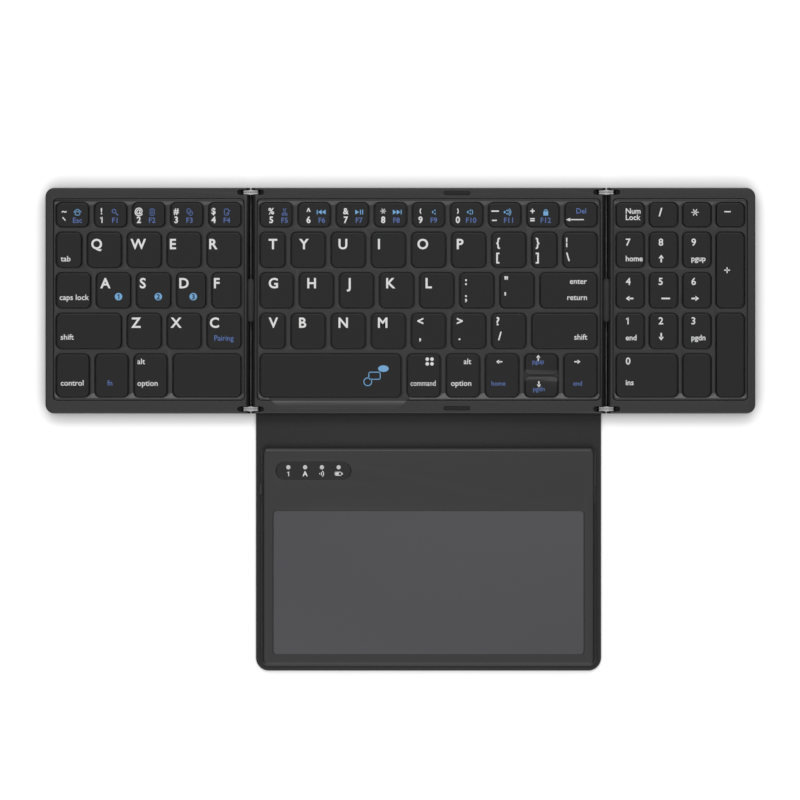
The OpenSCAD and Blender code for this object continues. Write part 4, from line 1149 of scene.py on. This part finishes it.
def make_leather():
    """The cover as two flat sheets that meet at the middle of the spine, each with closer rows at
    one crease.
    """
    shape = settings("leather")
    back_low, back_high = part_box("leather_back")
    spine_low, spine_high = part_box("leather_spine")
    flap_low, flap_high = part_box("leather_flap")
    middle = (spine_low.y + spine_high.y) / 2
    rear_crease = (back_low.y + spine_high.y) / 2
    front_crease = (spine_low.y + flap_high.y) / 2
    parts = (
        ("leather_cover.rear", back_high.y, REAR_CORNER, rear_crease,
         (SECTIONS["main"], "spine"), ("leather_back", "leather_spine")),
        ("leather_cover.front", flap_low.y, FRONT_CORNER, front_crease,
         ("touchpad_flap", "spine"), ("leather_flap",)))
    for name, start, corner, crease, bodies, nodes in parts:
        obj = leather_sheet(name, start, middle, corner * MM, crease)
        obj.data.materials.append(finish("leather"))
        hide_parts(*nodes)
        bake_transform(obj)


# ---- touchpad ----

def make_touchpad():
    cuts = middles("indicator_window")
    edged("touchpad_bezel", "touchpad_plastic", 0.18, cuts=cuts)
    edged("touchpad_tray", "touchpad_plastic", 0.12, cuts=cuts)
    edged("touch_surface", "touch_film", 0.12)
    edged("indicator_window", "window_plastic", 0.15)
    edged("charging_port", "polished_steel", 0.06)
    edged("power_switch", "switch_knob", 0.1, clamp=True)
    make_window_marks()
    make_knob_ribs()


WINDOW_LABELS = ("@one", "A", "@waves", "@battery")
WINDOW_LABEL = Style("middle", 2.2, "white", 0.03, 1.0)


LENS_ROUNDNESS = 3


def lens_tree():
    """Sets one lens on each point."""
    tree, given, result = new_tree(
        "Lenses", "GeometryNodeTree",
        [("Points", GEOMETRY, None), ("Radius", FLOAT, 0.001), ("Height", FLOAT, 0.0001),
         ("Material", MATERIAL, None)], [("Lenses", GEOMETRY)])
    ball = first_of(tree, "GeometryNodeMeshIcoSphere",
                    {"Radius": 1.0, "Subdivisions": LENS_ROUNDNESS})
    size = first_of(tree, "ShaderNodeCombineXYZ",
                    {"X": given["Radius"], "Y": given["Radius"], "Z": given["Height"]})
    spots = first_of(tree, "GeometryNodeMeshToPoints", {"Mesh": given["Points"]})
    lenses = first_of(tree, "GeometryNodeInstanceOnPoints",
                      {"Points": spots, "Instance": ball, "Scale": size})
    feed(tree, result["Lenses"], painted(tree, lenses, given["Material"]))
    return tree


def led_boxes():
    shape = welded("indicator_leds")
    boxes = sorted((island_box(island) for island in islands(shape)), key=lambda box: box[0].x)
    shape.free()
    return boxes


def make_window_marks():
    """The lights' lenses and their labels, on the top of the window."""
    window = settings("window")
    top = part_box("indicator_window")[1].z
    spots = [(low + high) / 2 for low, high in led_boxes()]
    points = bpy.data.meshes.new("spots")
    points.from_pydata([(spot.x, spot.y, top) for spot in spots], [], [])
    lenses = grow(new_object("indicator_lenses", points), lens_tree(),
                  {"Radius": window.lens, "Height": window.lens_height, "Material": finish("led")})
    smooth(facing_out(lenses))
    dress(lenses, "led", body_of("indicator_window"))
    shape = bmesh.new()
    for label, spot in zip(WINDOW_LABELS, spots):
        print_mark(shape, label, WINDOW_LABEL, spot.x, spot.y - window.label_drop, top)
    printed("indicator_labels", shape, body_of("indicator_window"))


# A rib's depth in mm, its width as a share of the pitch, its height as a share of the knob's, the
# distance from the knob's side to the rib's middle, and the width of its rounded edges
RIB_DEPTH = 0.4
RIB_WIDTH = 0.4
RIB_HEIGHT = 0.7
RIB_INSET = 0.1
RIB_EDGE = 0.12


def make_knob_ribs():
    """Upright ribs on the power switch's knob, to slide it with a nail."""
    low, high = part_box("power_switch")
    window = settings("window")
    shape = bmesh.new()
    middle = (low.y + high.y) / 2
    for i in range(window.ribs):
        y = middle + (i - (window.ribs - 1) / 2) * window.rib_pitch
        rib = bmesh.ops.create_cube(shape, size=1)["verts"]
        size = (RIB_DEPTH * MM, window.rib_pitch * RIB_WIDTH, (high.z - low.z) * RIB_HEIGHT)
        bmesh.ops.scale(shape, verts=rib, vec=size)
        spot = (low.x + RIB_INSET * MM, y, (low.z + high.z) / 2)
        bmesh.ops.translate(shape, verts=rib, vec=spot)
    ribs = new_object("power_switch_ribs", stored(shape, "power_switch_ribs"))
    soften(ribs, RIB_EDGE)
    dress(smooth(baked(ribs)), "switch_knob", body_of("power_switch"))


# ---- inner parts ----

def make_inner_parts():
    """Every CAD node that still shows gets the finish of its own slot."""
    for node in NODES.values():
        for slot in node.material_slots:
            if slot.material and not node.hide_render:
                slot.material = finish(slot.material.name)


# ---- switches ----

# The finishes of the parts that a key presses
SWITCH_PARTS = {"rubber_domes": "dome_rubber", "scissors": "switch_plastic"}


def under_keys(keys, low, high):
    """Whether the middle of a solid lies below one of these keys."""
    middle = (low + high) / 2
    return any(a.x < middle.x < b.x and a.y < middle.y < b.y for a, b in keys)


def make_switches():
    """The domes and scissor frames, as one piece for each row of keys."""
    for section in SECTIONS:
        for row in ROWS:
            keys = key_boxes(f"{section}_keys_row_{row}")
            for kind, look in SWITCH_PARTS.items():
                node = f"{section}_{kind}"
                shape = welded(node, keep=lambda low, high: under_keys(keys, low, high))
                bmesh.ops.recalc_face_normals(shape, faces=shape.faces)
                obj = new_object(f"{node}_row_{row}", stored(shape, node))
                dress(obj, look, body_of(node), [node])
                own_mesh(obj)


# ---- stage ----

# The point that the camera and the lights face, and the width of the camera's sensor, in mm
TARGET = (-13.3, -46.2, 5.0)
SENSOR = 36
# How far the camera sees, and half of the floor's side, in metres
SIGHT = 20
FLOOR_HALF = 2.0
# How far the floor lies below the part, in mm, and its grey
FLOOR_DROP = 0.05
FLOOR_GREY = (0.7, 0.7, 0.7, 1)
# How strongly the open floor glows towards the camera alone, how near the part it starts to grow
# dark as a painted shadow, in metres, and how strongly it does
FLOOR_GLOW = 0.7
SHADOW_REACH = 0.01
SHADOW_DEPTH = 2.0
# Places and size of the two lights, and a black card's place, half length, height, all in metres,
# and grey
REAR_PLACE = (-0.05, 0.85, 0.8)
FRONT_PLACE = (-0.05, -0.95, 0.8)
LIGHT_SIZE = (1.4, 0.45)
FLAG_X = 0.8
FLAG_HALF = 1.3
FLAG_HEIGHT = 1.1
FLAG_GREY = (0.01, 0.01, 0.01, 1)


def seen_directly(tree):
    """1 for rays that a viewer would see: from the camera, a mirror or glass."""
    path = add(tree, "ShaderNodeLightPath")
    either = maths(tree, "MAXIMUM", path.outputs["Is Camera Ray"], path.outputs["Is Glossy Ray"])
    return maths(tree, "MAXIMUM", either, path.outputs["Is Transmission Ray"])


def floor_material():
    material = bpy.data.materials.new("pale_floor")
    material.use_nodes = True
    tree = material.node_tree
    tree.nodes.remove(tree.nodes["Principled BSDF"])
    output = tree.nodes["Material Output"]
    paper = add(tree, "ShaderNodeBsdfDiffuse", {"Color": FLOOR_GREY})
    # The glow fades near the part by ambient occlusion: a painted shadow on the floor
    open_sky = add(tree, "ShaderNodeAmbientOcclusion", {"Distance": SHADOW_REACH}, samples=8)
    glow_outside_painted_shadow = maths(tree, "POWER", open_sky.outputs["AO"], SHADOW_DEPTH)
    share = maths(tree, "MULTIPLY", glow_outside_painted_shadow, FLOOR_GLOW)
    strength = maths(tree, "MULTIPLY", seen_directly(tree), share)
    glow = add(tree, "ShaderNodeEmission", {"Strength": strength})
    both = add(tree, "ShaderNodeAddShader", {0: paper.outputs[0], 1: glow.outputs[0]})
    feed(tree, output.inputs["Surface"], both.outputs[0])
    return material


def four_sided(name, corners):
    """A mesh of one face."""
    mesh = bpy.data.meshes.new(name)
    mesh.from_pydata(corners, [], [(0, 1, 2, 3)])
    return mesh


def make_floor():
    half, z = FLOOR_HALF, -FLOOR_DROP * MM
    mesh = four_sided("floor", [(-half, -half, z), (half, -half, z), (half, half, z),
                                (-half, half, z)])
    mesh.materials.append(floor_material())
    new_object("floor", mesh)


def make_world(ambient):
    """White to the camera, and dimmer as a light."""
    world = bpy.data.worlds.new("studio")
    bpy.context.scene.world = world
    world.use_nodes = True
    tree = world.node_tree
    seen = seen_directly(tree)
    background = tree.nodes["Background"]
    background.inputs["Color"].default_value = (1, 1, 1, 1)
    feed(tree, background.inputs["Strength"],
         maths(tree, "ADD", ambient, maths(tree, "MULTIPLY", seen, 1 - ambient)))


def make_light(name, spot, power, target):
    light = bpy.data.lights.new(name, "AREA")
    light.shape = "RECTANGLE"
    light.size, light.size_y = LIGHT_SIZE
    light.energy = power
    obj = new_object(name, light)
    obj.location = spot
    obj.rotation_euler = (target - Vector(spot)).to_track_quat("-Z", "Y").to_euler()


def make_flag(side):
    """A black card at one side, which the camera doesn't see; it keeps the side walls dark."""
    x, half, height = side * FLAG_X, FLAG_HALF, FLAG_HEIGHT
    mesh = four_sided("flag", [(x, -half, 0), (x, half, 0), (x, half, height), (x, -half, height)])
    black = bpy.data.materials.new("black_card")
    black.use_nodes = True
    black.node_tree.nodes["Principled BSDF"].inputs["Base Color"].default_value = FLAG_GREY
    mesh.materials.append(black)
    flag = new_object("flag_" + ("right" if side > 0 else "left"), mesh)
    flag.visible_camera = False


def make_stage():
    stage = settings("stage")
    scene = bpy.context.scene
    scene.view_settings.view_transform = "Standard"
    target = Vector(TARGET) * MM
    camera = bpy.data.cameras.new("camera")
    camera.lens = stage.lens
    camera.sensor_width = SENSOR
    camera.clip_end = SIGHT
    viewer = new_object("camera", camera)
    viewer.location = target + Vector((0, 0, stage.camera_height))
    scene.camera = viewer
    make_floor()
    make_world(stage.ambient)
    make_light("rear_light", REAR_PLACE, stage.rear_light, target)
    make_light("front_light", FRONT_PLACE, stage.front_light, target)
    for side in (-1, 1):
        make_flag(side)


# ---- operators ----

class KEYBOARD_OT_housings(bpy.types.Operator):
    """Round the edges of the three housings and their key webs"""
    bl_idname = "keyboard.housings"
    bl_label = "Housings"
    bl_options = {"REGISTER", "UNDO"}

    def execute(self, context):
        make_housings()
        return {"FINISHED"}


class KEYBOARD_OT_keycaps(bpy.types.Operator):
    """Model every keycap"""
    bl_idname = "keyboard.keycaps"
    bl_label = "Keycaps"
    bl_options = {"REGISTER", "UNDO"}

    def execute(self, context):
        make_keycaps()
        return {"FINISHED"}


class KEYBOARD_OT_switches(bpy.types.Operator):
    """Fit the domes and scissor frames below the keys"""
    bl_idname = "keyboard.switches"
    bl_label = "Key Switches"
    bl_options = {"REGISTER", "UNDO"}

    def execute(self, context):
        make_switches()
        return {"FINISHED"}


class KEYBOARD_OT_legends(bpy.types.Operator):
    """Print the legends on the keys"""
    bl_idname = "keyboard.legends"
    bl_label = "Legends"
    bl_options = {"REGISTER", "UNDO"}

    def execute(self, context):
        make_legends()
        return {"FINISHED"}


class KEYBOARD_OT_hinges(bpy.types.Operator):
    """Finish the links and model the rubber bridges"""
    bl_idname = "keyboard.hinges"
    bl_label = "Hinges"
    bl_options = {"REGISTER", "UNDO"}

    def execute(self, context):
        make_hinges()
        return {"FINISHED"}


class KEYBOARD_OT_leather(bpy.types.Operator):
    """Model the leather cover, with closer rows at its two creases"""
    bl_idname = "keyboard.leather"
    bl_label = "Leather"
    bl_options = {"REGISTER", "UNDO"}

    def execute(self, context):
        make_leather()
        return {"FINISHED"}


class KEYBOARD_OT_touchpad(bpy.types.Operator):
    """Finish the touchpad's housing, surface, window and switch"""
    bl_idname = "keyboard.touchpad"
    bl_label = "Touchpad"
    bl_options = {"REGISTER", "UNDO"}

    def execute(self, context):
        make_touchpad()
        return {"FINISHED"}


class KEYBOARD_OT_inner_parts(bpy.types.Operator):
    """Give the parts inside their finishes"""
    bl_idname = "keyboard.inner_parts"
    bl_label = "Inner Parts"
    bl_options = {"REGISTER", "UNDO"}

    def execute(self, context):
        make_inner_parts()
        return {"FINISHED"}


class KEYBOARD_OT_stage(bpy.types.Operator):
    """Set the floor, the lights and the camera"""
    bl_idname = "keyboard.stage"
    bl_label = "Stage"
    bl_options = {"REGISTER", "UNDO"}

    def execute(self, context):
        make_stage()
        return {"FINISHED"}


OPERATORS = (
    KEYBOARD_OT_housings, KEYBOARD_OT_keycaps, KEYBOARD_OT_switches, KEYBOARD_OT_legends,
    KEYBOARD_OT_hinges, KEYBOARD_OT_leather, KEYBOARD_OT_touchpad, KEYBOARD_OT_inner_parts,
    KEYBOARD_OT_stage)


class KEYBOARD_PT_dresser(bpy.types.Panel):
    """Lists the settings and the steps"""
    bl_label = "Folding Keyboard"
    bl_space_type = "VIEW_3D"
    bl_region_type = "UI"
    bl_category = "Keyboard"

    def draw(self, context):
        for step in OPERATORS:
            self.layout.operator(step.bl_idname)
        for name, group in GROUPS_OF_SETTINGS.items():
            box = self.layout.box()
            box.label(text=group.__doc__)
            for key in group.__annotations__:
                box.prop(settings(name), key)


GROUPS_OF_SETTINGS = {"colours": KeyboardColours, "keycap": KeycapShape, "legend": LegendShape,
                      "window": WindowShape, "leather": LeatherShape, "stage": StageSettings}
CLASSES = (*GROUPS_OF_SETTINGS.values(), *OPERATORS, KEYBOARD_PT_dresser)


def register():
    for item in CLASSES:
        bpy.utils.register_class(item)
    for name, group in GROUPS_OF_SETTINGS.items():
        setattr(bpy.types.Scene, "keyboard_" + name, PointerProperty(type=group))


def unregister():
    for name in GROUPS_OF_SETTINGS:
        delattr(bpy.types.Scene, "keyboard_" + name)
    for item in reversed(CLASSES):
        bpy.utils.unregister_class(item)


def main():
    register()
    for step in OPERATORS:
        getattr(bpy.ops.keyboard, step.bl_idname.partition(".")[2])()


if __name__ == "__main__":
    main()
